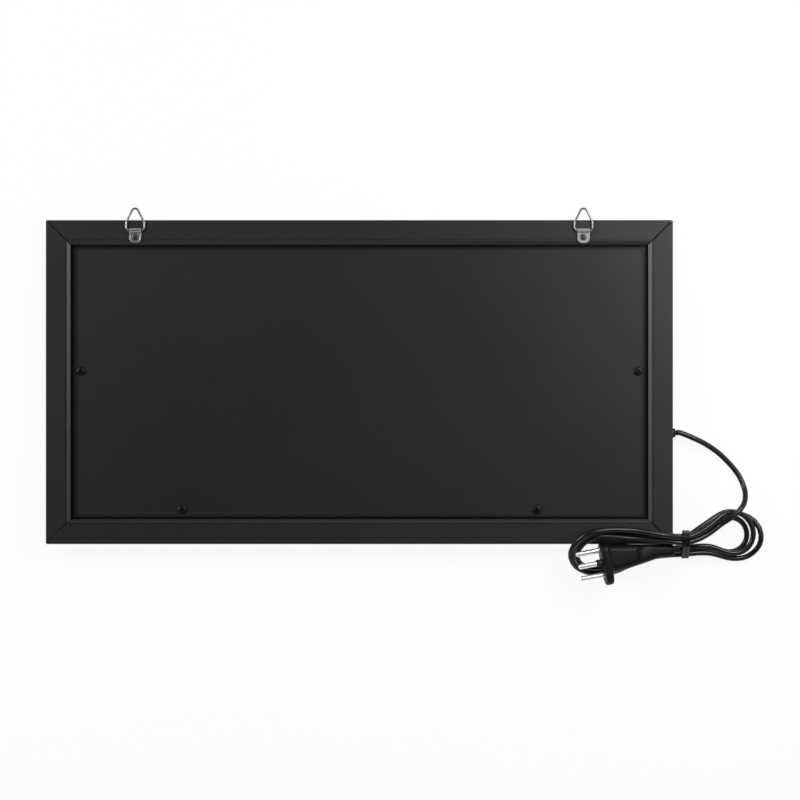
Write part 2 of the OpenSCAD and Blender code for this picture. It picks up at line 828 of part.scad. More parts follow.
// Stations round the hank's innermost loop: place, then the heading and the rise of the way
// out to the next loop, the step out to it and the lift to the upper layer
hank_stations = [
  [10.6, 1.6, 17.1, 90, 12, 4.9, 5.5],
  [-7.5, 1.8, 23.9, 90, 9, 5.8, 5],
  [-32.6, 3.8, 24, 96, 4, 6.8, 6.1],
  [-59.9, 5.3, 27.1, 128, 8, 5.4, 8.9],
  [-72.2, -5.7, 18.9, 177, 5, 5.8, 10.3],
  [-67.5, -16.3, 7.6, 224, 7, 4.5, 10],
  [-47.4, -16, 2.2, 262, 10, 5.6, 5.7],
  [-18.9, -6.6, 2.2, 268, 29, 4.9, 5],
  [10, -3.3, 4.4, 270, 29, 4.5, 4.9],
  [28.5, -1.4, 3.1, 274, 21, 4.9, 5.1],
  [43.8, -4.7, 2.3, 291, 7, 5.4, 4.9],
  [52.2, -0.5, 2.1, 327, 1, 9.5, 3.9],
  [55.3, 8.1, 2, 354, 15, 11.2, 2.6],
  [51.9, 16.9, 5.8, 418, -20, 5.4, 4.8],
  [42, 18.8, 9.4, 472, -3, 4.9, 5.7],
  [25.5, 9.8, 13.3, 476, 26, 5, 5.4]];
hank_turns = 3;
hank_start = -0.09;
hank_end = 2.95;
hank_rings = 40;

// Plug axis, from the tail to the middle of the pin face
plug_tail = corner_at + [1, -4.9, 16.7];
plug_turn = 190.6;
plug_pitch = 9;
plug_dir = [cos(plug_turn) * cos(plug_pitch), sin(plug_turn) * cos(plug_pitch), sin(plug_pitch)];

// Station i of the hank, with the heading carried on from turn to turn
function hank_station(i) =
  let (n = len(hank_stations), turn = floor(i / n))
  hank_stations[i - turn * n] + [0, 0, 0, 360 * turn, 0, 0, 0];

// Loops spiral out in the upper layer, climb down on the way and spiral back in below. The first
// one dips under the next past the waist and climbs again round the left fold
function hank_spread(s) = hank_turns / 2 - abs(hank_turns / 2 - s);
function hank_layer(s) =
  1 - 0.9 * step_up(0, 0.07, s) + 0.4 * step_up(0.1, 0.2, s) + 0.5 * step_up(0.3, 0.42, s)
  - step_up(hank_turns / 2 - 0.25, hank_turns / 2 + 0.25, s);

function hank_point(s) =
  let (u = s * len(hank_stations), i = floor(u),
    q = curve(hank_station(i - 1), hank_station(i), hank_station(i + 1), hank_station(i + 2), u - i),
    out = [cos(q[3]) * cos(q[4]), sin(q[3]) * cos(q[4]), sin(q[4])],
    lift = [-cos(q[3]) * sin(q[4]), -sin(q[3]) * sin(q[4]), cos(q[4])])
  corner_at + [q[0], q[1], q[2]] + out * q[5] * hank_spread(s) + lift * q[6] * hank_layer(s);

hank_steps = round((hank_end - hank_start) * hank_rings);
hank_loops = [for (k = [0 : hank_steps]) hank_point(hank_start + (hank_end - hank_start) * k / hank_steps)];
hank_route = concat(hank_loops, [plug_tail - 1.5 * cord_d * plug_dir, plug_tail]);
hank_lead_in = unit(hank_loops[0] - hank_loops[1]);
lead_route = concat([exit_at],
  smooth_route(concat([exit_at + [cord_d, 0, 0]], [for (p = lead_points) corner_at + p],
    [hank_loops[0] + cord_d * hank_lead_in]), 2),
  [hank_loops[0]]);

// Least gap between stretches of a route that are over skip points apart, each step in parts
function least_gap(p, d, parts, skip) =
  let (q = [for (i = [0 : len(p) - 2], k = [0 : parts - 1]) p[i] + (p[i + 1] - p[i]) * k / parts])
  min([for (i = [0 : len(q) - skip - 1], j = [i + skip : len(q) - 1]) norm(q[i] - q[j])]) - d;

function route_length(p) =
  let (n = len(p) - 1)
  [for (i = [0 : n - 1]) norm(p[i + 1] - p[i])] * [for (i = [0 : n - 1]) 1];

module cord_grommet() {
  color("#161618")
    translate([right_x, exit_y, exit_z])
      rotate([0, 90, 0])
        difference() {
          union() {
            cylinder(d = grommet_d, h = grommet_l);
            translate([0, 0, -2 * rail_wall])
              cylinder(d = neck_d, h = 2 * rail_wall + eps);
          }
          translate([0, 0, -3 * rail_wall])
            cylinder(d = cord_d + 2 * hole_clear, h = 3 * rail_wall + grommet_l + 1);
        }
}

// The lead inside, straight from the grommet's outer face to where its sheath is stripped
module inner_cord() {
  color("#19191b")
    translate([driver_x1 + strip_back, exit_y, exit_z])
      rotate([0, 90, 0])
        cylinder(d = cord_d, h = exit_at[0] - driver_x1 - strip_back);
}

clamp_x = right_x - lamp_inset - strip_w / 2 - clamp_l - 2;
clamp_screw_places = [for (s = [-1, 1]) [clamp_x + clamp_l / 2, exit_y + s * (clamp_w / 2 - 4)]];
clamp_h = exit_z + cord_r + clamp_wall - face_back_z;

module cord_clamp() {
  color("#222225")
    difference() {
      translate([clamp_x, exit_y - clamp_w / 2, face_back_z])
        cube([clamp_l, clamp_w, clamp_h]);
      translate([clamp_x - 1, exit_y, exit_z])
        rotate([0, 90, 0])
          cylinder(d = cord_d + 2 * hole_clear, h = clamp_l + 2);
      for (p = clamp_screw_places)
        translate([p[0], p[1], face_back_z - 1])
          cylinder(d = board_screw_d + 2 * hole_clear, h = clamp_h + 2);
    }
}

module clamp_screws() {
  color("#8f9296")
    for (p = clamp_screw_places)
      translate([p[0], p[1], face_back_z + clamp_h]) {
        cylinder(d = board_screw_head_d, h = board_screw_head_h / 2);
        translate([0, 0, -clamp_h])
          cylinder(d = board_screw_d, h = clamp_h + eps);
      }
}

module cord_lead() {
  color("#19191b") tube(lead_route, cord_r, 8);
}

module cord_hank() {
  echo(hank_least_gap = least_gap(hank_route, cord_d, 4, 8));
  echo(cord_length = route_length(lead_route) + route_length(hank_route));
  color("#19191b") tube(hank_route, cord_r, 6);
}

// Band drawn tight round the strands at the hank's waist, whose places are given across the
// slanted row that they lie in
tie_x = 10;
tie_tilt = 30;
tie_strands = [[-1.6, 7.2], [15.2, 11.7], [16.6, 16.9], [16.7, 18.6],
  [11.8, 19.9], [-2.1, 12.4], [-2, 7.4]];

module tie_outline(grow) {
  hull()
    for (p = tie_strands)
      translate(p)
        circle(r = cord_r + lay_clear + grow, $fn = 32);
}

module cord_tie() {
  color("#161618")
    translate(corner_at + [tie_x - tie_w / 2, 0, 0])
      rotate([tie_tilt, 0, 0])
        rotate([90, 0, 90])
          linear_extrude(tie_w)
            difference() {
              tie_outline(tie_t);
              tie_outline(0);
            }
}

// Plug along its own +X from the tail to the pin face, +Y towards the flange's upper end
module at_plug() {
  translate(plug_tail)
    rotate([0, 0, plug_turn])
      rotate([0, -plug_pitch, 0])
        children();
}

pin_places = [for (k = [-1, 0, 1]) [-(pin_shift + k * pin_pitch), k == 0 ? pin_offset : 0]];

// Flat outline with round ends, h along Y and w along Z, as thick as l along X
module oblong(h, w, l) {
  rotate([90, 0, 90])
    linear_extrude(l) {
      translate([w / 2 - h / 2, -w / 2])
        square([h - w, w]);
      for (s = [-1, 1])
        translate([s * (h - w) / 2, 0])
          circle(d = w);
    }
}

module plug_body() {
  grip_end = plug_l - flange_l;
  thumb_w = 10;
  thumb_l = 9;
  thumb_depth = 1;
  thumb_back = 25.5;
  thumb_x = grip_end - thumb_back;
  thumb_top = (tail_d + (grip_t - tail_d) * (thumb_x - tail_l) / (grip_end - tail_l)) / 2;
  color("#161618")
    at_plug()
      difference() {
        union() {
          rotate([0, 90, 0])
            cylinder(d = tail_d, h = tail_l);
          hull() {
            translate([tail_l - 1, 0, 0])
              rotate([0, 90, 0])
                cylinder(d = tail_d, h = 1, $fn = 32);
            translate([grip_end - 1, 0, 0])
              oblong(grip_h, grip_t, 1, $fn = 32);
          }
          translate([grip_end - eps, 0, 0])
            oblong(flange_h, flange_w, flange_l + eps);
        }
        // Thumb recess on the upper side of the grip
        translate([thumb_x, 0, thumb_top - thumb_depth])
          intersection() {
            cylinder(d = thumb_w, h = grip_t);
            translate([-thumb_l / 2, -thumb_w / 2, 0])
              cube([thumb_l, thumb_w, grip_t]);
          }
        for (p = pin_places)
          translate([plug_l - pin_seat, p[0], p[1]])
            rotate([0, 90, 0])
              cylinder(d = pin_d + 2 * hole_clear, h = pin_seat + 1);
      }
}

module plug_pins() {
  tip = pin_d / 4;
  color("#c9cbce")
    at_plug()
      for (p = pin_places)
        translate([plug_l - pin_seat, p[0], p[1]])
          rotate([0, 90, 0])
            rotate_extrude()
              polygon([[0, 0], [pin_d / 2, 0], [pin_d / 2, pin_seat + pin_l - tip],
                [pin_d / 2 - tip, pin_seat + pin_l], [0, pin_seat + pin_l]]);
}

module pin_sleeve() {
  color("#161618")
    at_plug()
      translate([plug_l, pin_places[1][0], pin_places[1][1]])
        rotate([0, 90, 0])
          difference() {
            cylinder(d = sleeve_d, h = sleeve_l);
            translate([0, 0, -1])
              cylinder(d = pin_d + 2 * hole_clear, h = sleeve_l + 2);
          }
}

top_rail();
bottom_rail();
left_rail();
right_rail();
corner_keys();
face_panel();
led_lamps();
led_strips();
driver_standoffs();
driver_board();
driver_screws();
driver_transformer();
driver_capacitors();
mains_terminal();
lamp_terminal();
lamp_wires();
mains_wires();
inner_cord();
cord_clamp();
clamp_screws();
back_panel();
panel_screws();
hanger_strap_left();
hanger_strap_right();
hanger_ring_left();
hanger_ring_right();
hanger_screws();
cord_grommet();
cord_lead();
cord_hank();
cord_tie();
plug_body();
plug_pins();
pin_sleeve();
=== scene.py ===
"""LED light sign lying face down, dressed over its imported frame."""

import json
import math

import bmesh
import bpy
from mathutils import Matrix, Vector


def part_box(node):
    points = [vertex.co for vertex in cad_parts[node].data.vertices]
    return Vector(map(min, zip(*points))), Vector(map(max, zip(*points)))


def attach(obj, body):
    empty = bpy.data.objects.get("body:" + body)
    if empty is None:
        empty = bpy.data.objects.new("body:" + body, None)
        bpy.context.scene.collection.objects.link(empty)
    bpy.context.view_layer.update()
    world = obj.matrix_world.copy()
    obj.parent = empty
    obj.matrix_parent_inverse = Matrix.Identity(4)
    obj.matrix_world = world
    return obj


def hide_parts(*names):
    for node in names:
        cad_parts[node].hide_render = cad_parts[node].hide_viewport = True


bl_info = {
    "name": "LED light sign",
    "version": (1, 0, 0),
    "blender": (4, 5, 0),
    "location": "3D View > Sidebar > Light sign",
    "description": "Dresses the light sign's rails, panels, hangers, lamps, lead and plug",
    "category": "Object",
}

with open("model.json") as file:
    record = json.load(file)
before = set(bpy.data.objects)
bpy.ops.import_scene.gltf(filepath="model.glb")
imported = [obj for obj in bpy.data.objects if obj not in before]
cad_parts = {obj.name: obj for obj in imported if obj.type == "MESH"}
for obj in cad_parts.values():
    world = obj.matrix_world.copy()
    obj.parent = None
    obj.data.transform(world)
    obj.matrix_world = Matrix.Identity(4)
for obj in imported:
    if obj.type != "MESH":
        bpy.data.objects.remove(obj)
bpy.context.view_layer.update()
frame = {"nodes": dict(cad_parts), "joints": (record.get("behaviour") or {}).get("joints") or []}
SIGN = "sign"
MM = 0.001


def corner_of(node, ends):
    """A corner of a CAD node's box: 0 for its low end and 1 for its high end on each axis."""
    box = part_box(node)
    return Vector([box[end][axis] for axis, end in enumerate(ends)])


def middle_of(node):
    """Middle of a CAD node's box."""
    low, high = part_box(node)
    return (Vector(low) + Vector(high)) / 2


RIGHT_X = corner_of("right_rail", (1, 0, 0)).x
TOP_Y = corner_of("top_rail", (0, 1, 0)).y
BOTTOM_Y = corner_of("bottom_rail", (0, 0, 0)).y
BACK_Z = corner_of("top_rail", (0, 0, 1)).z
PANEL_Z = corner_of("back_panel", (0, 0, 1)).z
SIGN_Y = (TOP_Y + BOTTOM_Y) / 2
# Width of a rail's back face, from its outer edge to the recess
RAIL_WIDTH = 18.8 * MM
CORNER = Vector((RIGHT_X, BOTTOM_Y, 0))
PIVOTS = {joint["child"]: Vector(joint["pos_m"]) for joint in frame["joints"]}


def length_prop(name, description, default):
    """A size in metres."""
    return bpy.props.FloatProperty(
        name=name, description=description, default=default, min=0, unit="LENGTH", precision=5
    )


def place_prop(name, description, default):
    """A place in metres, on either side of the origin."""
    return bpy.props.FloatProperty(
        name=name, description=description, default=default, unit="LENGTH", precision=5
    )


def power_prop(name, description, default):
    """Power of a lamp in watts."""
    return bpy.props.FloatProperty(
        name=name, description=description, default=default, min=0, unit="POWER"
    )


def colour_prop(name, description, default):
    """A colour without alpha."""
    return bpy.props.FloatVectorProperty(
        name=name, description=description, default=default, min=0, max=1, size=3, subtype="COLOR"
    )


class SignSizes(bpy.types.PropertyGroup):
    """Sizes of the pieces that are modelled here."""

    rail_round: length_prop("Rail rounding", "Rounding of the rails' edges", 0.22 * MM)
    mitre_round: length_prop("Mitre chamfer", "Chamfer of the rails' mitred ends", 0.5 * MM)
    panel_round: length_prop("Panel rounding", "Rounding of the back panel's edges", 0.35 * MM)
    strap_round: length_prop("Strap rounding", "Rounding of the hanger straps' edges", 0.16 * MM)
    wire: length_prop("Ring wire", "Diameter of the hanger rings' wire", 1.6 * MM)
    screw_head: length_prop("Panel screw head", "Diameter of the panel screws' head", 6.6 * MM)
    screw_height: length_prop("Panel screw height", "Height of the panel screws' head", 2 * MM)
    strap_screw_head: length_prop("Strap screw head", "Diameter of the strap screws' head", 5 * MM)
    strap_screw_height: length_prop("Strap screw height", "Height of the strap screws' head", MM)
    lamp: length_prop("Lamp", "Diameter of a lamp's body", 4.8 * MM)
    lamp_flange: length_prop("Lamp flange", "Diameter of a lamp's flange", 6 * MM)
    cord: length_prop("Lead", "Diameter of the mains lead", 4.2 * MM)
    tie: length_prop("Tie", "Width of the tie round the hank", 5.6 * MM)
    plug: length_prop("Plug", "Length of the plug from its tail to its pin face", 57 * MM)
    pin: length_prop("Pin", "Diameter of a plug pin", 4 * MM)
    grommet_round: length_prop("Grommet rounding", "Rounding of the grommet's edges", 0.35 * MM)


class SignFinishes(bpy.types.PropertyGroup):
    """Colours of the finishes."""

    frame: colour_prop("Frame", "Black coat of the rails", (0.0102, 0.01, 0.0114))
    panel: colour_prop("Back panel", "Black of the back panel", (0.0058, 0.0056, 0.0067))
    face: colour_prop("Face panel", "Black of the front panel", (0.006, 0.006, 0.007))
    cord: colour_prop("Lead", "Black sheath of the lead", (0.0035, 0.0035, 0.0037))
    plug: colour_prop("Plug", "Black plastic of the plug", (0.003, 0.003, 0.0032))
    # The straps' nickel is the rings' plating painted brighter, as a painted highlight
    nickel: colour_prop("Ring nickel", "Plating of the hanger rings", (0.2, 0.198, 0.194))
    strap: colour_prop("Strap nickel", "Plating of the hanger straps", (0.38, 0.376, 0.37))
    lamp: colour_prop("Lamps", "Milky lens of the unlit lamps", (0.72, 0.69, 0.6))


class SignStage(bpy.types.PropertyGroup):
    """Camera, floor and light."""

    view_x: place_prop("View middle X", "Middle of the view along the sign", 31.1 * MM)
    view_y: place_prop("View middle Y", "Middle of the view up the sign", -18.5 * MM)
    view_width: length_prop("View width", "Width of the view at the sign's back", 612.2 * MM)
    camera_height: length_prop("Camera height", "Camera above the sign's back", 3.0)
    key_power: power_prop("Key", "Power of the softbox above the upper right", 3.3)
    left_power: power_prop("Left light", "Power of the left softbox", 10.4)
    right_power: power_prop("Right light", "Power of the right softbox", 1.5)
    top_power: power_prop("Top light", "Power of the softbox past the top rail", 0.6)
    near_power: power_prop("Near light", "Power of the small softbox by the upper right", 2.35)
    front_power: power_prop("Front light", "Power of the low softbox past the bottom rail", 0.8)
    fill: bpy.props.FloatProperty(
        name="Fill", description="Strength of the light from all round", default=0.15, min=0
    )


def sizes():
    """Sizes that are set on the scene."""
    return bpy.context.scene.sign_sizes


def finishes():
    """Colours that are set on the scene."""
    return bpy.context.scene.sign_finishes


# Node building


def tree_input(tree, label, kind, default=None):
    """Named input of a node tree."""
    socket = tree.interface.new_socket(label, in_out="INPUT", socket_type="NodeSocket" + kind)
    if default is not None:
        socket.default_value = default


def tree_output(tree, label, kind):
    """Named output of a node tree."""
    tree.interface.new_socket(label, in_out="OUTPUT", socket_type="NodeSocket" + kind)


def tree_ends(tree):
    """A node tree, what it is given and what it puts out."""
    return tree, tree.nodes.new("NodeGroupInput").outputs, tree.nodes.new("NodeGroupOutput").inputs


def add_node(tree, kind, **values):
    """New node with its inputs or settings given by name, underscores standing for spaces."""
    node = tree.nodes.new(kind)
    for key, value in values.items():
        socket = node.inputs.get(key.replace("_", " "))
        if socket is not None:
            socket.default_value = value
        else:
            setattr(node, key, value)
    return node


def feed(tree, socket, value):
    """Links a socket to another one, or gives it a plain value."""
    if isinstance(value, bpy.types.NodeSocket):
        tree.links.new(value, socket)
    else:
        socket.default_value = value


def add_math(tree, operation, first, second):
    """Math node whose two inputs are numbers or sockets."""
    node = add_node(tree, "ShaderNodeMath", operation=operation)
    feed(tree, node.inputs[0], first)
    feed(tree, node.inputs[1], second)
    return node.outputs[0]


def add_mix(tree, mask, first, second):
    """Colour mix of two colours, each a tuple or a socket."""
    node = add_node(tree, "ShaderNodeMix", data_type="RGBA")
    feed(tree, node.inputs[0], mask)
    for socket, colour in zip(node.inputs[6:8], (first, second)):
        feed(tree, socket, (*colour, 1) if isinstance(colour, tuple) else colour)
    return node.outputs[2]


def add_range(tree, value, low, high, to_low=0.0, to_high=1.0, kind="LINEAR"):
    """Map Range node from low..high to to_low..to_high."""
    node = add_node(tree, "ShaderNodeMapRange", interpolation_type=kind)
    for socket, number in zip(node.inputs, (value, low, high, to_low, to_high)):
        feed(tree, socket, number)
    return node.outputs[0]


def object_coords(tree):
    """Place on a piece, in its own coordinates."""
    return add_node(tree, "ShaderNodeTexCoord").outputs["Object"]


def noise_of(tree, scale, detail, stretch=None, turn=(0, 0, 0)):
    """Noise on Object coordinates, stretched by a mapping where one is given."""
    coords = object_coords(tree)
    if stretch:
        mapping = add_node(tree, "ShaderNodeMapping", Scale=stretch, Rotation=turn)
        feed(tree, mapping.inputs["Vector"], coords)
        coords = mapping.outputs[0]
    noise = add_node(tree, "ShaderNodeTexNoise", Detail=detail)
    feed(tree, noise.inputs["Vector"], coords)
    feed(tree, noise.inputs["Scale"], scale)
    return noise.outputs["Fac"]


# Shared effects


def effect_group(name, inputs, outputs):
    """Empty shader node group: inputs are (name, kind, default), outputs (name, kind)."""
    tree = bpy.data.node_groups.new(name, "ShaderNodeTree")
    for label, kind, default in inputs:
        tree_input(tree, label, kind, default)
    for label, kind in outputs:
        tree_output(tree, label, kind)
    return tree_ends(tree)


def build_grain():
    """Fine grain over a longer ripple, for coats and mouldings."""
    tree, given, out = effect_group(
        "Coat grain", [("Scale", "Float", 900), ("Ripple", "Float", 0.3)],
        [("Mask", "Float"), ("Height", "Float")],
    )
    fine = noise_of(tree, given["Scale"], 3)
    ripple = noise_of(tree, add_math(tree, "MULTIPLY", given["Scale"], 0.14), 1)
    share = add_math(tree, "MULTIPLY", ripple, given["Ripple"])
    tree.links.new(add_range(tree, fine, 0.3, 0.7), out["Mask"])
    tree.links.new(add_math(tree, "ADD", fine, share), out["Height"])
    return tree


def build_drift():
    """Slow change from one colour to another over the surface."""
    tree, given, out = effect_group(
        "Tone drift",
        [("First", "Color", (0, 0, 0, 1)), ("Second", "Color", (1, 1, 1, 1)), ("Scale", "Float", 8)],
        [("Color", "Color"), ("Mask", "Float")],
    )
    mask = add_range(tree, noise_of(tree, given["Scale"], 4), 0.32, 0.68, kind="SMOOTHSTEP")
    mixed = add_mix(tree, mask, given["First"], given["Second"])
    tree.links.new(mixed, out["Color"])
    tree.links.new(mask, out["Mask"])
    return tree


def build_dust():
    """Sparse specks of dust and lint."""
    tree, given, out = effect_group(
        "Dust specks", [("Scale", "Float", 500), ("Amount", "Float", 0.3)], [("Mask", "Float")]
    )
    specks = add_range(tree, noise_of(tree, given["Scale"], 1), 0.74, 0.8)
    patches = add_range(tree, noise_of(tree, 14.0, 2), 0.4, 0.7)
    lint = add_range(tree, noise_of(tree, 60.0, 1, (1, 14, 1), (0, 0, 0.6)), 0.76, 0.8)
    both = add_math(tree, "MAXIMUM", add_math(tree, "MULTIPLY", specks, patches), lint)
    tree.links.new(add_math(tree, "MULTIPLY", both, given["Amount"]), out["Mask"])
    return tree


def build_scuffs():
    """Faint rubbed streaks, from handling."""
    tree, given, out = effect_group(
        "Rubbed streaks", [("Scale", "Float", 40), ("Amount", "Float", 0.3)], [("Mask", "Float")]
    )
    streaks = [
        add_range(tree, noise_of(tree, given["Scale"], 3, stretch, (0, 0, turn)), low, 0.75)
        for stretch, turn, low in (((1, 18, 4), 0.3, 0.6), ((16, 1, 4), 0.5, 0.62))
    ]
    both = add_math(tree, "MAXIMUM", *streaks)
    tree.links.new(add_math(tree, "MULTIPLY", both, given["Amount"]), out["Mask"])
    return tree


def build_rim_wear_and_highlight():
    """Rubbed edges, which on the nickel also stand in as a painted highlight: the piece's own rim
    attribute, broken up along its length.
    """
    tree, given, out = effect_group(
        "Worn rim", [("Scale", "Float", 120), ("Amount", "Float", 0.5)], [("Mask", "Float")]
    )
    rim = add_node(tree, "ShaderNodeAttribute", attribute_name="rim").outputs["Fac"]
    broken = add_range(tree, noise_of(tree, given["Scale"], 3), 0.35, 0.75)
    rubbed = add_math(tree, "MULTIPLY", rim, broken)
    tree.links.new(add_math(tree, "MULTIPLY", rubbed, given["Amount"]), out["Mask"])
    return tree


def build_painted_edge_shade():
    """Painted shade: a darker margin inside the rails, where light hardly reaches: 1 at a rail, 0
    past its reach.
    """
    tree, given, out = effect_group(
        "Edge shade",
        [("Half width", "Float", 0.2), ("Half height", "Float", 0.1), ("Middle Y", "Float", 0),
         ("Left reach", "Float", 0.005), ("Right reach", "Float", 0.005),
         ("Top reach", "Float", 0.005), ("Bottom reach", "Float", 0.005), ("Amount", "Float", 1)],
        [("Mask", "Float")],
    )
    parts = add_node(tree, "ShaderNodeSeparateXYZ")
    tree.links.new(object_coords(tree), parts.inputs[0])
    across = parts.outputs["X"]
    along = add_math(tree, "SUBTRACT", parts.outputs["Y"], given["Middle Y"])
    wide, high = given["Half width"], given["Half height"]
    inside = 1.0
    for operation, half, place, reach in (
        ("ADD", wide, across, "Left reach"), ("SUBTRACT", wide, across, "Right reach"),
        ("SUBTRACT", high, along, "Top reach"), ("ADD", high, along, "Bottom reach"),
    ):
        share = add_math(tree, "DIVIDE", add_math(tree, operation, half, place), given[reach])
        inside = add_math(tree, "MINIMUM", share, inside)
    mask = add_range(tree, inside, 1, 0)
    mask = add_math(tree, "MULTIPLY", mask, given["Amount"])
    tree.links.new(mask, out["Mask"])
    return tree


EFFECTS = {
    "grain": build_grain,
    "drift": build_drift,
    "dust": build_dust,
    "scuffs": build_scuffs,
    "rim": build_rim_wear_and_highlight,
    "shade": build_painted_edge_shade,
}
EFFECT_TREES = {}


def effect(tree, name, **values):
    """One of the shared effects, placed in a material with its own values."""
    if name not in EFFECT_TREES:
        EFFECT_TREES[name] = EFFECTS[name]()
    node = tree.nodes.new("ShaderNodeGroup")
    node.node_tree = EFFECT_TREES[name]
    for key, value in values.items():
        socket = node.inputs[key.replace("_", " ")]
        socket.default_value = (*value, 1) if isinstance(value, tuple) else value
    return node.outputs


# Finishes

TONE_SHARE = 0.25
DUST_COLOUR = (0.3, 0.29, 0.27)
RUBBED_COLOUR = (0.1, 0.1, 0.1)
# Painted shade beside the rails: the dark colour of the margin
PAINTED_SHADE_COLOUR = (0.0008, 0.0008, 0.0008)
SCUFF_POLISH = 0.2
# Painted shade beside the rails: how far the margin's roughness drops, dimming its reflections
PAINTED_SHADE_POLISH = 0.3
BUMP_STRENGTH = 0.5


def new_material(name):
    """Fresh material, its node tree and its surface shader."""
    material = bpy.data.materials.new(name)
    material.use_nodes = True
    return material, material.node_tree, material.node_tree.nodes["Principled BSDF"]


def add_bump(tree, surface, height, depth):
    """Bumps a surface by a height mask, with a depth in millimetres."""
    bump = add_node(tree, "ShaderNodeBump", Strength=BUMP_STRENGTH, Distance=depth * MM)
    tree.links.new(height, bump.inputs["Height"])
    tree.links.new(bump.outputs[0], surface.inputs["Normal"])


def polished(tree, roughness, mask, share):
    """Roughness that a mask takes down by up to a share."""
    return add_math(tree, "SUBTRACT", roughness, add_math(tree, "MULTIPLY", mask, share))


def finish(
    name, colour, rough, tone_scale, grain, depth, ripple=0.3, dust=0.0, scuffs=0.0, rim_wear_and_highlight=0.0,
    rim_wear_and_highlight_colour=RUBBED_COLOUR, shade=None, **shader
):
    """Material with drifting tone, grain, dust, streaks, lighter rims and a darker margin.

    The lighter rims are rubbed edges, and on the nickel also a painted highlight; the darker
    margin is painted shade beside the rails. rough is (low, high), depth the grain's depth in
    millimetres, and shade the reach of the painted shade in millimetres from the left, right,
    top and bottom rail.
    """
    made = bpy.data.materials.get(name)
    if made:
        return made
    material, tree, surface = new_material(name)
    for key, value in shader.items():
        surface.inputs[key.replace("_", " ")].default_value = value
    colour = tuple(colour)
    brighter = tuple(min(1, c * (1 + TONE_SHARE)) for c in colour)
    base = effect(tree, "drift", First=colour, Second=brighter, Scale=tone_scale)["Color"]
    grains = effect(tree, "grain", Scale=grain, Ripple=ripple)
    roughness = add_range(tree, grains["Mask"], 0, 1, *rough)
    if dust:
        specks = effect(tree, "dust", Amount=dust)["Mask"]
        base = add_mix(tree, specks, base, DUST_COLOUR)
    if scuffs:
        streaks = effect(tree, "scuffs", Amount=scuffs)["Mask"]
        roughness = polished(tree, roughness, streaks, SCUFF_POLISH)
    # Lighter rims: rubbed edges, and on the nickel also a painted highlight
    if rim_wear_and_highlight:
        rubbed = effect(tree, "rim", Amount=rim_wear_and_highlight)["Mask"]
        base = add_mix(tree, rubbed, base, rim_wear_and_highlight_colour)
    # Painted shade: a darker, glossier margin beside the rails stands for the shade they cast
    if shade:
        left, right, top, bottom = (reach * MM for reach in shade)
        margin = effect(
            tree, "shade", Half_width=RIGHT_X - RAIL_WIDTH, Half_height=TOP_Y - RAIL_WIDTH - SIGN_Y,
            Middle_Y=SIGN_Y, Left_reach=left, Right_reach=right, Top_reach=top, Bottom_reach=bottom,
        )["Mask"]
        base = add_mix(tree, margin, base, PAINTED_SHADE_COLOUR)
        roughness = polished(tree, roughness, margin, PAINTED_SHADE_POLISH)
    add_bump(tree, surface, grains["Height"], depth)
    tree.links.new(base, surface.inputs["Base Color"])
    tree.links.new(roughness, surface.inputs["Roughness"])
    return material


def frame_coat():
    """Satin black powder coat on the extruded rails."""
    return finish(
        "Black rail coat", finishes().frame, (0.36, 0.43), tone_scale=6, grain=1500, ripple=0.5,
        depth=0.03, dust=0.02, scuffs=0.25, rim_wear_and_highlight=0.12, rim_wear_and_highlight_colour=(0.09, 0.09, 0.092),
        Specular_IOR_Level=0.38,
    )


def panel_coat():
    """Matt black back panel, with painted shade along the rails."""
    return finish(
        "Black panel board", finishes().panel, (0.4, 0.46), tone_scale=5, grain=1100, ripple=0.8,
        # shade gives the reach in millimetres of the painted shade from the left, right, top and
        # bottom rail
        depth=0.025, dust=0.03, scuffs=0.2, rim_wear_and_highlight=0.1, shade=(6.6, 5.8, 4.6, 3.4),
        Specular_IOR_Level=0.39,
    )


def face_acrylic():
    """Smooth black acrylic of the front panel."""
    return finish(
        "Black face acrylic", finishes().face, (0.12, 0.2), tone_scale=4, grain=300, ripple=1.0,
        depth=0.01, dust=0.03, scuffs=0.5, Specular_IOR_Level=0.45,
    )


def cord_sheath():
    """Flexible black sheath with a soft sheen."""
    return finish(
        "Black lead sheath", finishes().cord, (0.24, 0.34), tone_scale=30, grain=2200, ripple=1.0,
        depth=0.03, dust=0.03, Specular_IOR_Level=0.32,
    )


def plug_plastic():
    """Finely textured moulded black plastic."""
    return finish(
        "Black plug plastic", finishes().plug, (0.4, 0.52), tone_scale=25, grain=2600, ripple=0.2,
        depth=0.05, dust=0.03, rim_wear_and_highlight=0.2, rim_wear_and_highlight_colour=(0.03, 0.03, 0.03), Specular_IOR_Level=0.15,
    )


def nickel_plate(name, colour):
    """Nickel plating with fine streaks and light rims, partly rubbed and partly a painted highlight.
    """
    return finish(
        name, colour, (0.28, 0.4), tone_scale=120, grain=1800, ripple=1.0, depth=0.015, scuffs=0.4,
        # The light rim colour is partly rubbed plating and partly a painted highlight
        rim_wear_and_highlight=0.4, rim_wear_and_highlight_colour=(0.82, 0.81, 0.79), Metallic=1.0,
    )


def ring_plate():
    """Plating of the ring wire."""
    return nickel_plate("Ring nickel", finishes().nickel)


def strap_plate():
    """Plating of the straps, painted brighter than the rings' nickel as a painted highlight."""
    return nickel_plate("Strap nickel", finishes().strap)


def black_screw_oxide():
    """Blackened screw steel."""
    return finish(
        "Black screw oxide", (0.003, 0.003, 0.0032), (0.3, 0.45), tone_scale=200, grain=2400,
        depth=0.02, rim_wear_and_highlight=0.3, rim_wear_and_highlight_colour=(0.03, 0.03, 0.03), Specular_IOR_Level=0.2,
    )


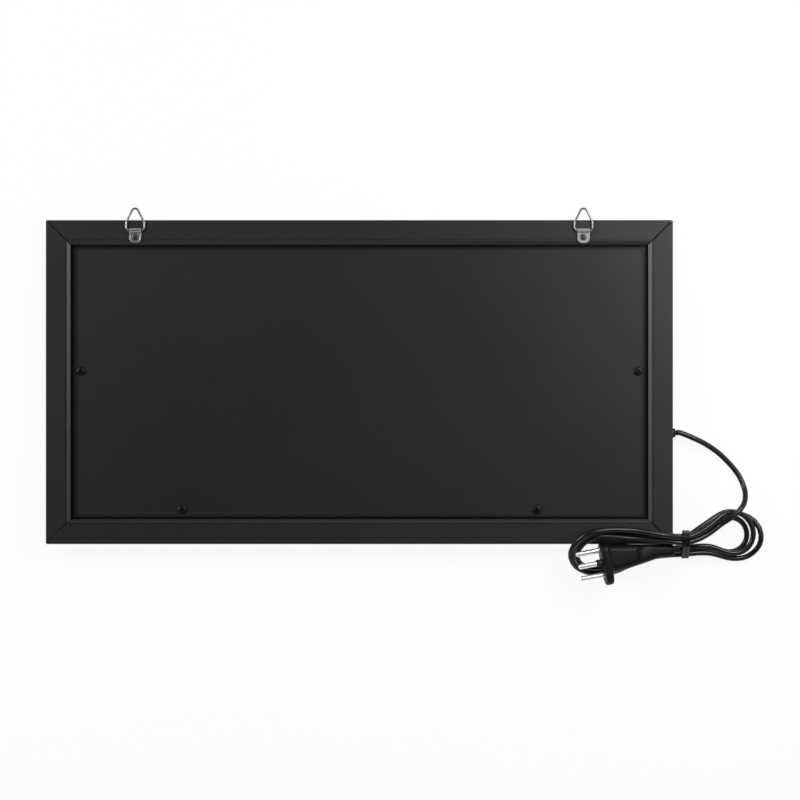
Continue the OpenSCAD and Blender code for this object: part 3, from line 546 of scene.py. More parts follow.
def dull_screw_steel():
    """Dull steel of the hanger screws."""
    return finish(
        "Dull screw steel", (0.07, 0.069, 0.067), (0.4, 0.52), tone_scale=150, grain=2000,
        ripple=1.0, depth=0.02, rim_wear_and_highlight=0.3, rim_wear_and_highlight_colour=(0.2, 0.2, 0.2), Metallic=1.0,
    )


def pin_metal():
    """Drawn metal of the plug pins."""
    return finish(
        "Pin metal", (0.9, 0.89, 0.87), (0.3, 0.42), tone_scale=150, grain=1500, ripple=1.2,
        depth=0.012, scuffs=0.5, Metallic=1.0,
    )


def black_rubber():
    """Soft black rubber of the grommet and the pin sleeve."""
    return finish(
        "Black rubber", (0.009, 0.009, 0.009), (0.5, 0.65), tone_scale=80, grain=2000, depth=0.03,
        dust=0.05, Specular_IOR_Level=0.3,
    )


def tie_sheath():
    """Soft black sheath of the tie."""
    return finish(
        "Black tie sheath", (0.0035, 0.0035, 0.0037), (0.34, 0.48), tone_scale=90, grain=1800,
        ripple=1.0, depth=0.04, dust=0.03, Specular_IOR_Level=0.2,
    )


def lamp_lens():
    """Milky lens of an unlit lamp."""
    return finish(
        "Milky lamp lens", finishes().lamp, (0.16, 0.26), tone_scale=160, grain=900, depth=0.01,
        Subsurface_Weight=0.25, Subsurface_Scale=0.002, Specular_IOR_Level=0.5,
    )


def board_mask():
    """Green solder mask with copper tracks under it and tinned pads."""
    name = "Green board mask"
    made = bpy.data.materials.get(name)
    if made:
        return made
    material, tree, surface = new_material(name)
    coords = object_coords(tree)
    tracks = add_node(tree, "ShaderNodeTexBrick", Scale=220.0, Mortar_Size=0.03, Bias=0.0)
    tree.links.new(coords, tracks.inputs["Vector"])
    pads = add_node(tree, "ShaderNodeTexVoronoi", Scale=260.0, Randomness=0.35)
    tree.links.new(coords, pads.inputs["Vector"])
    tinned = add_range(tree, pads.outputs["Distance"], 0.14, 0.1)
    mask = effect(tree, "drift", First=(0.012, 0.11, 0.045), Second=(0.02, 0.15, 0.06), Scale=40.0)
    green = add_mix(tree, tracks.outputs["Fac"], mask["Color"], (0.03, 0.2, 0.08))
    tree.links.new(add_mix(tree, tinned, green, (0.6, 0.6, 0.58)), surface.inputs["Base Color"])
    tree.links.new(tinned, surface.inputs["Metallic"])
    grains = effect(tree, "grain", Scale=1500.0)
    tree.links.new(add_range(tree, grains["Mask"], 0, 1, 0.25, 0.4), surface.inputs["Roughness"])
    add_bump(tree, surface, tracks.outputs["Fac"], 0.05)
    return material


# Plain finishes of the pieces inside: name, colour, roughness and the shader's own values
INNER_FINISHES = {
    "key_metal": ("Blackened key metal", (0.02, 0.02, 0.021), (0.45, 0.6), {"Metallic": 0.4}),
    "nylon": ("White nylon", (0.62, 0.61, 0.57), (0.4, 0.5), {"Subsurface_Weight": 0.1}),
    "steel": ("Zinc plated steel", (0.5, 0.5, 0.49), (0.25, 0.4), {"Metallic": 1.0}),
    "ferrite": ("Taped ferrite core", (0.05, 0.033, 0.02), (0.45, 0.6), {}),
    "capacitor": ("Blue capacitor sleeve", (0.012, 0.03, 0.11), (0.2, 0.32), {}),
    "terminal": ("Blue terminal plastic", (0.02, 0.11, 0.24), (0.3, 0.45), {}),
    "wire": ("Red wire sheath", (0.3, 0.02, 0.018), (0.3, 0.42), {}),
    "conductor": ("Brown core sheath", (0.1, 0.035, 0.015), (0.3, 0.42), {}),
    "clamp": ("Black clamp nylon", (0.012, 0.012, 0.013), (0.4, 0.55), {}),
}


def inner_finish(slot):
    """Finish of a piece inside the sign, by its material slot."""
    if slot == "board":
        return board_mask()
    if slot == "cord":
        return cord_sheath()
    name, colour, rough, shader = INNER_FINISHES[slot]
    return finish(name, colour, rough, tone_scale=60, grain=1400, depth=0.03, dust=0.02, **shader)


# Mesh building

# Reach in metres within which points are one, for CAD triangles and for turned profiles
MERGE_WITHIN = 2e-6
SEAM_WITHIN = 1e-7
POLE_WITHIN = 1e-9
FLAT_WITHIN = math.radians(0.6)
LARGE_FACE = 8 * MM * MM
SMOOTH = 40


def bare_copy(node):
    """BMesh of a CAD node with its loose triangles merged and its flat faces made whole."""
    source = frame["nodes"][node]
    bm = bmesh.new()
    bm.from_mesh(source.data)
    bm.transform(source.matrix_world)
    bmesh.ops.remove_doubles(bm, verts=bm.verts[:], dist=MERGE_WITHIN)
    bmesh.ops.dissolve_limit(bm, angle_limit=FLAT_WITHIN, verts=bm.verts[:], edges=bm.edges[:])
    return bm


def round_edges(bm, edges, radius, segments):
    """Rounds those edges, and marks the new faces as rim."""
    rim = bm.faces.layers.float.get("rim") or bm.faces.layers.float.new("rim")
    made = bmesh.ops.bevel(
        bm, geom=edges, offset=radius, offset_type="OFFSET", segments=segments, profile=0.5,
        affect="EDGES", clamp_overlap=True, loop_slide=True,
    )
    for face in made["faces"]:
        face[rim] = 1.0


def sharp_edges(bm, angle, shortest):
    """Edges longer than shortest that turn by more than an angle in degrees."""
    limit = math.radians(angle)
    return [
        e for e in bm.edges
        if len(e.link_faces) == 2 and e.calc_length() > shortest and e.calc_face_angle(0) > limit
    ]


def new_object(name, data):
    """Object at the origin, linked to the scene."""
    piece = bpy.data.objects.new(name, data)
    bpy.context.scene.collection.objects.link(piece)
    return piece


def discard(piece):
    """Takes an object and its mesh away."""
    mesh = piece.data
    bpy.data.objects.remove(piece)
    bpy.data.meshes.remove(mesh)


def smooth_shade(mesh, smooth):
    """Shades a mesh smooth but for edges over an angle in degrees."""
    mesh.shade_smooth()
    mesh.set_sharp_from_angle(angle=math.radians(smooth))


def object_from(bm, name, material, smooth=SMOOTH):
    """Object at the origin from a BMesh, smooth but for edges over an angle in degrees."""
    mesh = bpy.data.meshes.new(name)
    bm.to_mesh(mesh)
    bm.free()
    smooth_shade(mesh, smooth)
    mesh.materials.append(material)
    return new_object(name, mesh)


def settle(piece):
    """Gives a piece the mesh that its modifiers make, and takes the modifiers off."""
    bpy.context.view_layer.update()
    evaluated = piece.evaluated_get(bpy.context.evaluated_depsgraph_get())
    mesh = bpy.data.meshes.new_from_object(evaluated)
    mesh.name = piece.name
    old = piece.data
    piece.modifiers.clear()
    piece.data = mesh
    bpy.data.meshes.remove(old)
    return piece


def even_normals(piece):
    """Keeps large faces flat, so that only the rounded edges bend the light."""
    modifier = piece.modifiers.new("Normals", "WEIGHTED_NORMAL")
    modifier.keep_sharp = True
    mesh = settle(piece).data
    normals = [corner.vector.copy() for corner in mesh.corner_normals]
    for face in mesh.polygons:
        if face.area > LARGE_FACE:
            for corner in face.loop_indices:
                normals[corner] = face.normal.copy()
    mesh.normals_split_custom_set(normals)
    return piece


def hand_over(piece, body, slot, *nodes):
    """Ties a finished piece to its body and hides the CAD nodes that it stands for; slot is not
    used.
    """
    if not len(piece.data.materials):
        raise RuntimeError(piece.name + " has no material")
    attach(piece, body)
    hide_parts(*nodes)
    return piece


def skin(bm, low, high):
    """Faces between two rounds of points, either of which may be a single pole."""
    count = max(len(low), len(high))
    for k in range(count):
        n = (k + 1) % count
        if len(low) == 1:
            bm.faces.new((low[0], high[n], high[k]))
        elif len(high) == 1:
            bm.faces.new((low[k], low[n], high[0]))
        else:
            bm.faces.new((low[k], low[n], high[n], high[k]))


def lathe(profile, segments):
    """BMesh of a profile of (radius, height) turned about Z; a radius of 0 makes a pole."""
    bm = bmesh.new()
    angles = [2 * math.pi * k / segments for k in range(segments)]
    rounds = [
        [bm.verts.new((0, 0, height))] if radius < POLE_WITHIN else
        [bm.verts.new((radius * math.cos(a), radius * math.sin(a), height)) for a in angles]
        for radius, height in profile
    ]
    for low, high in zip(rounds, rounds[1:]):
        skin(bm, low, high)
    bmesh.ops.remove_doubles(bm, verts=bm.verts[:], dist=SEAM_WITHIN)
    bmesh.ops.recalc_face_normals(bm, faces=bm.faces[:])
    return bm


def loft(rings, closed=False):
    """BMesh that skins rings of points of the same count, capped unless it closes on itself."""
    bm = bmesh.new()
    loops = [[bm.verts.new(p) for p in ring] for ring in rings]
    for low, high in zip(loops, loops[1:]):
        skin(bm, low, high)
    if closed:
        skin(bm, loops[-1], loops[0])
    else:
        bm.faces.new(list(reversed(loops[0])))
        bm.faces.new(loops[-1])
    bmesh.ops.recalc_face_normals(bm, faces=bm.faces[:])
    return bm


def cut(piece, cutter):
    """Takes one closed piece out of another."""
    modifier = piece.modifiers.new("Cut", "BOOLEAN")
    modifier.operation = "DIFFERENCE"
    modifier.solver = "EXACT"
    modifier.object = cutter
    settle(piece)
    discard(cutter)
    return piece


# Geometry Nodes


def geometry_tree(name, inputs):
    """Empty geometry tree with a geometry in and out and more named inputs."""
    tree = bpy.data.node_groups.new(name, "GeometryNodeTree")
    tree_input(tree, "Geometry", "Geometry")
    for label, kind, default in inputs:
        tree_input(tree, label, kind, default)
    tree_output(tree, "Geometry", "Geometry")
    return tree_ends(tree)


def end_tree(tree, geometry, finish_given, out):
    """Makes instances real, gives the mesh its finish and puts it out."""
    real = add_node(tree, "GeometryNodeRealizeInstances")
    tree.links.new(geometry, real.inputs[0])
    coated = add_node(tree, "GeometryNodeSetMaterial")
    tree.links.new(real.outputs[0], coated.inputs["Geometry"])
    tree.links.new(finish_given, coated.inputs["Material"])
    tree.links.new(coated.outputs[0], out["Geometry"])
    return tree


def placed_copies_tree():
    """Copies of one modelled part on the points of a mesh, each turned and spun."""
    made = bpy.data.node_groups.get("Placed copies")
    if made:
        return made
    tree, given, out = geometry_tree("Placed copies", [
        ("Part", "Object", None), ("Turn", "Vector", (0, 0, 0)), ("Size", "Float", 1.0),
        ("Spin", "Float", 0.0), ("Seed", "Int", 1), ("Finish", "Material", None),
    ])
    part = add_node(tree, "GeometryNodeObjectInfo", As_Instance=True)
    tree.links.new(given["Part"], part.inputs["Object"])
    copies = add_node(tree, "GeometryNodeInstanceOnPoints")
    tree.links.new(given["Geometry"], copies.inputs["Points"])
    tree.links.new(part.outputs["Geometry"], copies.inputs["Instance"])
    tree.links.new(given["Turn"], copies.inputs["Rotation"])
    tree.links.new(given["Size"], copies.inputs["Scale"])
    chance = add_node(tree, "FunctionNodeRandomValue", data_type="FLOAT")
    tree.links.new(given["Spin"], chance.inputs[3])
    tree.links.new(given["Seed"], chance.inputs["Seed"])
    about = add_node(tree, "ShaderNodeCombineXYZ")
    tree.links.new(chance.outputs[1], about.inputs["Z"])
    spun = add_node(tree, "GeometryNodeRotateInstances")
    tree.links.new(copies.outputs[0], spun.inputs["Instances"])
    tree.links.new(about.outputs[0], spun.inputs["Rotation"])
    return end_tree(tree, spun.outputs[0], given["Finish"], out)


def bent_wire_tree():
    """Round wire along a closed way, bent at each point by its own radius."""
    made = bpy.data.node_groups.get("Bent wire")
    if made:
        return made
    tree, given, out = geometry_tree("Bent wire", [
        ("Wire diameter", "Float", 0.0016), ("Bend points", "Int", 10), ("Sides", "Int", 20),
        ("Finish", "Material", None),
    ])
    way = add_node(tree, "GeometryNodeMeshToCurve")
    tree.links.new(given["Geometry"], way.inputs[0])
    radius = add_node(tree, "GeometryNodeInputNamedAttribute", data_type="FLOAT", Name="bend")
    bent = add_node(tree, "GeometryNodeFilletCurve", mode="POLY")
    tree.links.new(way.outputs[0], bent.inputs["Curve"])
    tree.links.new(radius.outputs[0], bent.inputs["Radius"])
    tree.links.new(given["Bend points"], bent.inputs["Count"])
    section = add_node(tree, "GeometryNodeCurvePrimitiveCircle")
    tree.links.new(given["Sides"], section.inputs["Resolution"])
    half = add_math(tree, "MULTIPLY", given["Wire diameter"], 0.5)
    tree.links.new(half, section.inputs["Radius"])
    swept = add_node(tree, "GeometryNodeCurveToMesh")
    tree.links.new(bent.outputs[0], swept.inputs["Curve"])
    tree.links.new(section.outputs[0], swept.inputs["Profile Curve"])
    return end_tree(tree, swept.outputs[0], given["Finish"], out)


def run_tree(piece, tree, **values):
    """Runs a geometry tree on a piece and keeps the plain mesh that comes out."""
    modifier = piece.modifiers.new(tree.name, "NODES")
    modifier.node_group = tree
    named = {
        item.name: item.identifier for item in tree.interface.items_tree
        if item.item_type == "SOCKET" and item.in_out == "INPUT"
    }
    for key, value in values.items():
        modifier[named[key.replace("_", " ")]] = value
    settle(piece)
    if not len(piece.data.polygons):
        raise RuntimeError(piece.name + " came out empty")
    piece.data.shade_smooth()
    return piece


def copies_at(name, places, part, material, turn=(0, 0, 0), spin=0.0, seed=1):
    """Piece of like parts at those places; the part's own object is taken away."""
    mesh = bpy.data.meshes.new(name)
    mesh.from_pydata([tuple(p) for p in places], [], [])
    piece = run_tree(
        new_object(name, mesh), placed_copies_tree(), Part=part, Turn=tuple(turn), Spin=spin,
        Seed=seed, Finish=material,
    )
    smooth_shade(piece.data, SMOOTH)
    discard(part)
    return piece


# Route of the lead, in millimetres from the frame's lower right corner

LEAD_POINTS = (
    (17, 80.8, 7.6), (26, 76.4, 5.8), (35.5, 70, 3.8), (44, 62, 2.5), (51, 53.5, 2.3),
    (55.2, 44.8, 3.7), (56.5, 37.5, 7.2), (54.9, 30.6, 12.5), (50.6, 25, 15.9), (44.7, 20.1, 16.8),
)
# Innermost strand of the hank: its place, the way its turns spread as a heading and a rise in
# degrees, the step from turn to turn and the lift from layer to layer
HANK_STATIONS = (
    (10.6, 1.6, 17.1, 90, 12, 4.9, 5.5), (-7.5, 1.8, 23.9, 90, 9, 5.8, 5),
    (-32.6, 3.8, 24, 96, 4, 6.8, 6.1), (-59.9, 5.3, 27.1, 128, 8, 5.4, 8.9),
    (-72.2, -5.7, 18.9, 177, 5, 5.8, 10.3), (-67.5, -16.3, 7.6, 224, 7, 4.5, 10),
    (-47.4, -16, 2.2, 262, 10, 5.6, 5.7), (-18.9, -6.6, 2.2, 268, 29, 4.9, 5),
    (10, -3.3, 4.4, 270, 29, 4.5, 4.9), (28.5, -1.4, 3.1, 274, 21, 4.9, 5.1),
    (43.8, -4.7, 2.3, 291, 7, 5.4, 4.9), (52.2, -0.5, 2.1, 327, 1, 9.5, 3.9),
    (55.3, 8.1, 2, 354, 15, 11.2, 2.6), (51.9, 16.9, 5.8, 418, -20, 5.4, 4.8),
    (42, 18.8, 9.4, 472, -3, 4.9, 5.7), (25.5, 9.8, 13.3, 476, 26, 5, 5.4),
)
HANK_TURNS = 3
HANK_START = -0.09
HANK_END = 2.95
POINTS_PER_TURN = 64
POINTS_PER_STRETCH = 6
POINTS_PER_TAIL = 4
# Share of a step by which a strand lies nearer to its neighbour, and the turns where that starts
# and ends
NUDGE = 0.15
NUDGE_STARTS = (-0.05, -0.01)
NUDGE_ENDS = (0.04, 0.08)
# Changes of layer, each with the turns between which it happens
LAYER_CHANGES = (
    (-0.9, 0, 0.07), (0.4, 0.1, 0.2), (0.5, 0.3, 0.42),
    (-1, HANK_TURNS / 2 - 0.25, HANK_TURNS / 2 + 0.25),
)
PLUG_TAIL = CORNER + Vector((1, -4.9, 16.7)) * MM
PLUG_TURN = math.radians(190.6)
PLUG_PITCH = math.radians(9)
PLUG_PLACE = (
    Matrix.Translation(PLUG_TAIL)
    @ Matrix.Rotation(PLUG_TURN, 4, "Z")
    @ Matrix.Rotation(-PLUG_PITCH, 4, "Y")
)
PLUG_DIR = PLUG_PLACE.to_3x3() @ Vector((1, 0, 0))
TIE_X = 10
TIE_TILT = math.radians(30)
TIE_CLEARANCE = 0.3
# Strands under the tie, in its own plane
TIE_STRANDS = (
    (-1.6, 7.2), (15.2, 11.7), (16.6, 16.9), (16.7, 18.6), (11.8, 19.9), (-2.1, 12.4), (-2, 7.4),
)
# Half of the tie's section, from its groove outwards: share of the half width, and rise
TIE_GROOVE = 0.5
TIE_SIDE = ((0.14, 0.84), (0.5, 1.0), (0.88, 0.86), (1, 0.5), (1, 0.15), (0.9, 0))


def curve_at(p0, p1, p2, p3, t):
    """Catmull-Rom curve through p1 and p2, for points of any length."""
    return [
        (2 * b + (c - a) * t + (2 * a - 5 * b + 4 * c - d) * t * t
         + (3 * b - a - 3 * c + d) * t ** 3) / 2
        for a, b, c, d in zip(p0, p1, p2, p3)
    ]


def smooth_route(points, per):
    """Route with per points to each stretch, carried on straight past its ends."""
    first = 2 * points[0] - points[1]
    last = 2 * points[-1] - points[-2]
    p = [first, *points, last]
    route = [
        Vector(curve_at(p[i - 1], p[i], p[i + 1], p[i + 2], k / per))
        for i in range(1, len(p) - 2) for k in range(per)
    ]
    return route + [points[-1]]


def step_up(low, high, s):
    """Smooth step from 0 to 1."""
    u = max(0, min(1, (s - low) / (high - low)))
    return u * u * (3 - 2 * u)


def hank_station(i):
    """Station of the hank, its heading carried on from turn to turn."""
    turn, at = divmod(i, len(HANK_STATIONS))
    station = list(HANK_STATIONS[at])
    station[3] += 360 * turn
    return station


def hank_point(s):
    """Point of the hank after s turns."""
    u = s * len(HANK_STATIONS)
    i = math.floor(u)
    x, y, z, heading, rise, step, lift = curve_at(
        *[hank_station(i + k) for k in (-1, 0, 1, 2)], u - i
    )
    a, e = math.radians(heading), math.radians(rise)
    outwards = Vector((math.cos(a) * math.cos(e), math.sin(a) * math.cos(e), math.sin(e)))
    upwards = Vector((-math.cos(a) * math.sin(e), -math.sin(a) * math.sin(e), math.cos(e)))
    half = HANK_TURNS / 2
    spread = half - abs(half - s) + NUDGE * (step_up(*NUDGE_STARTS, s) - step_up(*NUDGE_ENDS, s))
    layer = 1
    for change, low, high in LAYER_CHANGES:
        layer += change * step_up(low, high, s)
    return CORNER + (Vector((x, y, z)) + outwards * step * spread + upwards * lift * layer) * MM


def lead_route(exit_at, cord):
    """The whole lead, from the grommet's outer face to the plug's tail."""
    span = HANK_END - HANK_START
    steps = round(span * POINTS_PER_TURN)
    loops = [hank_point(HANK_START + span * k / steps) for k in range(steps + 1)]
    lead_in = (loops[0] - loops[1]).normalized()
    way = [exit_at, exit_at + Vector((cord, 0, 0))]
    way += [CORNER + Vector(p) * MM for p in LEAD_POINTS]
    way += [loops[0] + cord * lead_in, loops[0]]
    before_plug = PLUG_TAIL - 1.5 * cord * PLUG_DIR
    tail = smooth_route([loops[-2], loops[-1], before_plug, PLUG_TAIL], POINTS_PER_TAIL)
    return smooth_route(way, POINTS_PER_STRETCH) + loops[1:] + tail[POINTS_PER_TAIL + 1:]


# Pieces and stage

SENSOR = 36
CLIP_END = 20
FLOOR_HALF = 4
FLOOR_DROP = 0.3 * MM
FLOOR_GLOW = 0.92


class SIGN_OT_stage(bpy.types.Operator):
    """Makes the camera, the floor, the world and the softboxes"""

    bl_idname = "sign.stage"
    bl_label = "Stage"

    def execute(self, context):
        scene = context.scene
        stage = scene.sign_stage
        scene.view_settings.view_transform = "Standard"
        self.camera(scene, stage)
        for softbox in (
            ("Key softbox", stage.key_power, (0.62, 0.55, 1.2), (0.5, 0.5), (0.1, 0.05, 0)),
            ("Left softbox", stage.left_power, (-0.96, 0.31, 0.82), (0.3, 0.3), (0, 0, 0)),
            ("Right softbox", stage.right_power, (0.85, -0.05, 0.9), (0.35, 0.9), (0, 0, 0)),
            ("Top softbox", stage.top_power, (0.1, 0.72, 0.95), (1.0, 0.3), (0, 0, 0)),
            ("Near softbox", stage.near_power, (0.46, 0.22, 0.46), (0.22, 0.22), (0.2, 0.1, 0)),
            ("Front softbox", stage.front_power, (0.0, -1.0, 0.6), (1.2, 0.3), (0, 0, 0)),
        ):
            self.light(*softbox)
        self.floor()
        self.world(scene, stage.fill)
        return {"FINISHED"}

    def camera(self, scene, stage):
        """Camera straight above the sign's back."""
        data = bpy.data.cameras.new("Camera")
        data.sensor_width = SENSOR
        data.lens = SENSOR * stage.camera_height / stage.view_width
        data.clip_end = CLIP_END
        camera = new_object("Camera", data)
        camera.location = (stage.view_x, stage.view_y, BACK_Z + stage.camera_height)
        scene.camera = camera

    def light(self, name, power, place, size, aim):
        """Area light at a place, aimed at a point."""
        data = bpy.data.lights.new(name, "AREA")
        data.shape = "RECTANGLE"
        data.size, data.size_y = size
        data.energy = power
        lamp = new_object(name, data)
        lamp.location = place
        lamp.rotation_euler = (Vector(place) - Vector(aim)).to_track_quat("Z", "Y").to_euler()

    def seen(self, tree):
        """1 for camera, mirror and glass rays, else 0."""
        path = add_node(tree, "ShaderNodeLightPath")
        direct = add_math(
            tree, "MAXIMUM", path.outputs["Is Camera Ray"], path.outputs["Is Glossy Ray"]
        )
        return add_math(tree, "MAXIMUM", direct, path.outputs["Is Transmission Ray"])

    def mix(self, tree, out_kind, mask, lit, shown):
        """Ends a tree in the lit shader where the mask is 0 and in the shown one where it is 1."""
        mix = add_node(tree, "ShaderNodeMixShader")
        for socket, value in zip(mix.inputs, (mask, lit.outputs[0], shown.outputs[0])):
            tree.links.new(value, socket)
        tree.links.new(mix.outputs[0], add_node(tree, out_kind).inputs["Surface"])

    def floor(self):
        """White floor that keeps a soft shadow."""
        material, tree, _ = new_material("White floor")
        tree.nodes.clear()
        lit = add_node(tree, "ShaderNodeBsdfDiffuse", Color=(0.9, 0.9, 0.9, 1))
        glow = add_node(tree, "ShaderNodeEmission", Color=(1, 1, 1, 1), Strength=1.0)
        mask = add_math(tree, "MULTIPLY", self.seen(tree), FLOOR_GLOW)
        self.mix(tree, "ShaderNodeOutputMaterial", mask, lit, glow)
        bm = bmesh.new()
        bmesh.ops.create_grid(bm, x_segments=1, y_segments=1, size=FLOOR_HALF)
        bmesh.ops.translate(bm, vec=(0, 0, -FLOOR_DROP), verts=bm.verts[:])
        object_from(bm, "floor", material)

    def world(self, scene, fill):
        """White round about and dim overhead for what is seen, and a low fill for the rest."""
        world = bpy.data.worlds.new("Studio")
        world.use_nodes = True
        scene.world = world
        tree = world.node_tree
        tree.nodes.clear()
        low = add_node(tree, "ShaderNodeBackground", Color=(1, 1, 1, 1), Strength=fill)
        white = add_node(tree, "ShaderNodeBackground", Color=(1, 1, 1, 1))
        up = add_node(tree, "ShaderNodeSeparateXYZ")
        tree.links.new(add_node(tree, "ShaderNodeTexCoord").outputs["Generated"], up.inputs[0])
        dimmed = add_range(tree, up.outputs["Z"], 0.16, 0.46, 1.0, 0.1, "SMOOTHSTEP")
        tree.links.new(dimmed, white.inputs["Strength"])
        self.mix(tree, "ShaderNodeOutputWorld", self.seen(tree), low, white)


class SIGN_OT_lead(bpy.types.Operator):
    """Makes the mains lead from the grommet through its hank to the plug"""

    bl_idname = "sign.lead"
    bl_label = "Lead and grommet"

    def execute(self, context):
        size = sizes()
        collar = middle_of("cord_grommet")
        exit_at = Vector((corner_of("cord_grommet", (1, 0, 0)).x, collar.y, collar.z))
        route = lead_route(exit_at, size.cord)
        data = bpy.data.curves.new("mains_lead", "CURVE")
        data.dimensions = "3D"
        spline = data.splines.new("POLY")
        spline.points.add(len(route) - 1)
        for point, place in zip(spline.points, route):
            point.co = (*place, 1)
        spline.use_smooth = True
        data.bevel_depth = size.cord / 2
        data.bevel_resolution = 5
        data.use_fill_caps = True
        data.materials.append(cord_sheath())
        lead = new_object("mains_lead", data)
        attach(lead, SIGN)
        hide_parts("cord_lead", "cord_hank")
        bm = bare_copy("cord_grommet")
        round_edges(bm, sharp_edges(bm, 40, 0), size.grommet_round, 3)
        grommet = even_normals(object_from(bm, "grommet", black_rubber()))
        hand_over(grommet, SIGN, "grommet", "cord_grommet")
        context.scene["sign_lead_exit"] = list(exit_at)
        context.scene["sign_lead_length"] = sum((b - a).length for a, b in zip(route, route[1:]))
        return {"FINISHED"}


class SIGN_OT_tie(bpy.types.Operator):
    """Makes the tie that holds the hank"""

    bl_idname = "sign.tie"
    bl_label = "Tie"

    def execute(self, context):
        size = sizes()
        # The tie's own X and Y are the sign's Y and Z, and it is tilted about X
        place = (
            Matrix.Translation(CORNER + Vector((TIE_X * MM, 0, 0)))
            @ Matrix.Rotation(TIE_TILT, 4, "X")
            @ Matrix(((0, 0, 1, 0), (1, 0, 0, 0), (0, 1, 0, 0), (0, 0, 0, 1)))
        )
        half = size.tie / MM / 2
        left = [(-share, rise) for share, rise in TIE_SIDE]
        section = [*reversed(left[:-1]), (0, TIE_GROOVE), *TIE_SIDE, left[-1]]
        reach = size.cord / MM / 2 + TIE_CLEARANCE
        count = 120
        rings = []
        for k in range(count):
            a = 2 * math.pi * k / count
            way = Vector((math.cos(a), math.sin(a)))
            strand = max((Vector(s) for s in TIE_STRANDS), key=lambda s: s.dot(way))
            rings.append([
                place @ (Vector((*(strand + way * (reach + rise)), share * half)) * MM)
                for share, rise in section
            ])
        bm = loft(rings, closed=True)
        tie = even_normals(object_from(bm, "tie", tie_sheath(), 60))
        hand_over(tie, SIGN, "tie", "cord_tie")
        return {"FINISHED"}


# Plug in millimetres: X from its tail to its pins, Y across it and Z up
FLANGE = 6
GRIP_FROM = 12
GRIP_TO = 50
GRIP_TAIL = (10.6, 8.6)
GRIP_GROWTH = (12.4, 4.4)
GRIP_ASIDE = 1.86
GRIP_SLANT = 0.825
LEAN_FROM = 24
GRIP_LEAN = 0.45
THUMB_FROM = 14
THUMB_TO = 30
THUMB_HALF = 5.7
THUMB_DEPTH = 2.3
THUMB_CORNER = 3
PIN_PITCH = 9.5
PIN_ASIDE = 1.5
MIDDLE_PIN_RISE = 2.5
PIN_ROOT = 5
PIN_LENGTH = 19
SLEEVE_BORE = 2.1
SLEEVE_RADIUS = 2.8
SLEEVE_LENGTH = 5


def plug_point(x, y, z):
    """Point on the plug as it lies."""
    return PLUG_PLACE @ (Vector((x, y, z)) * MM)


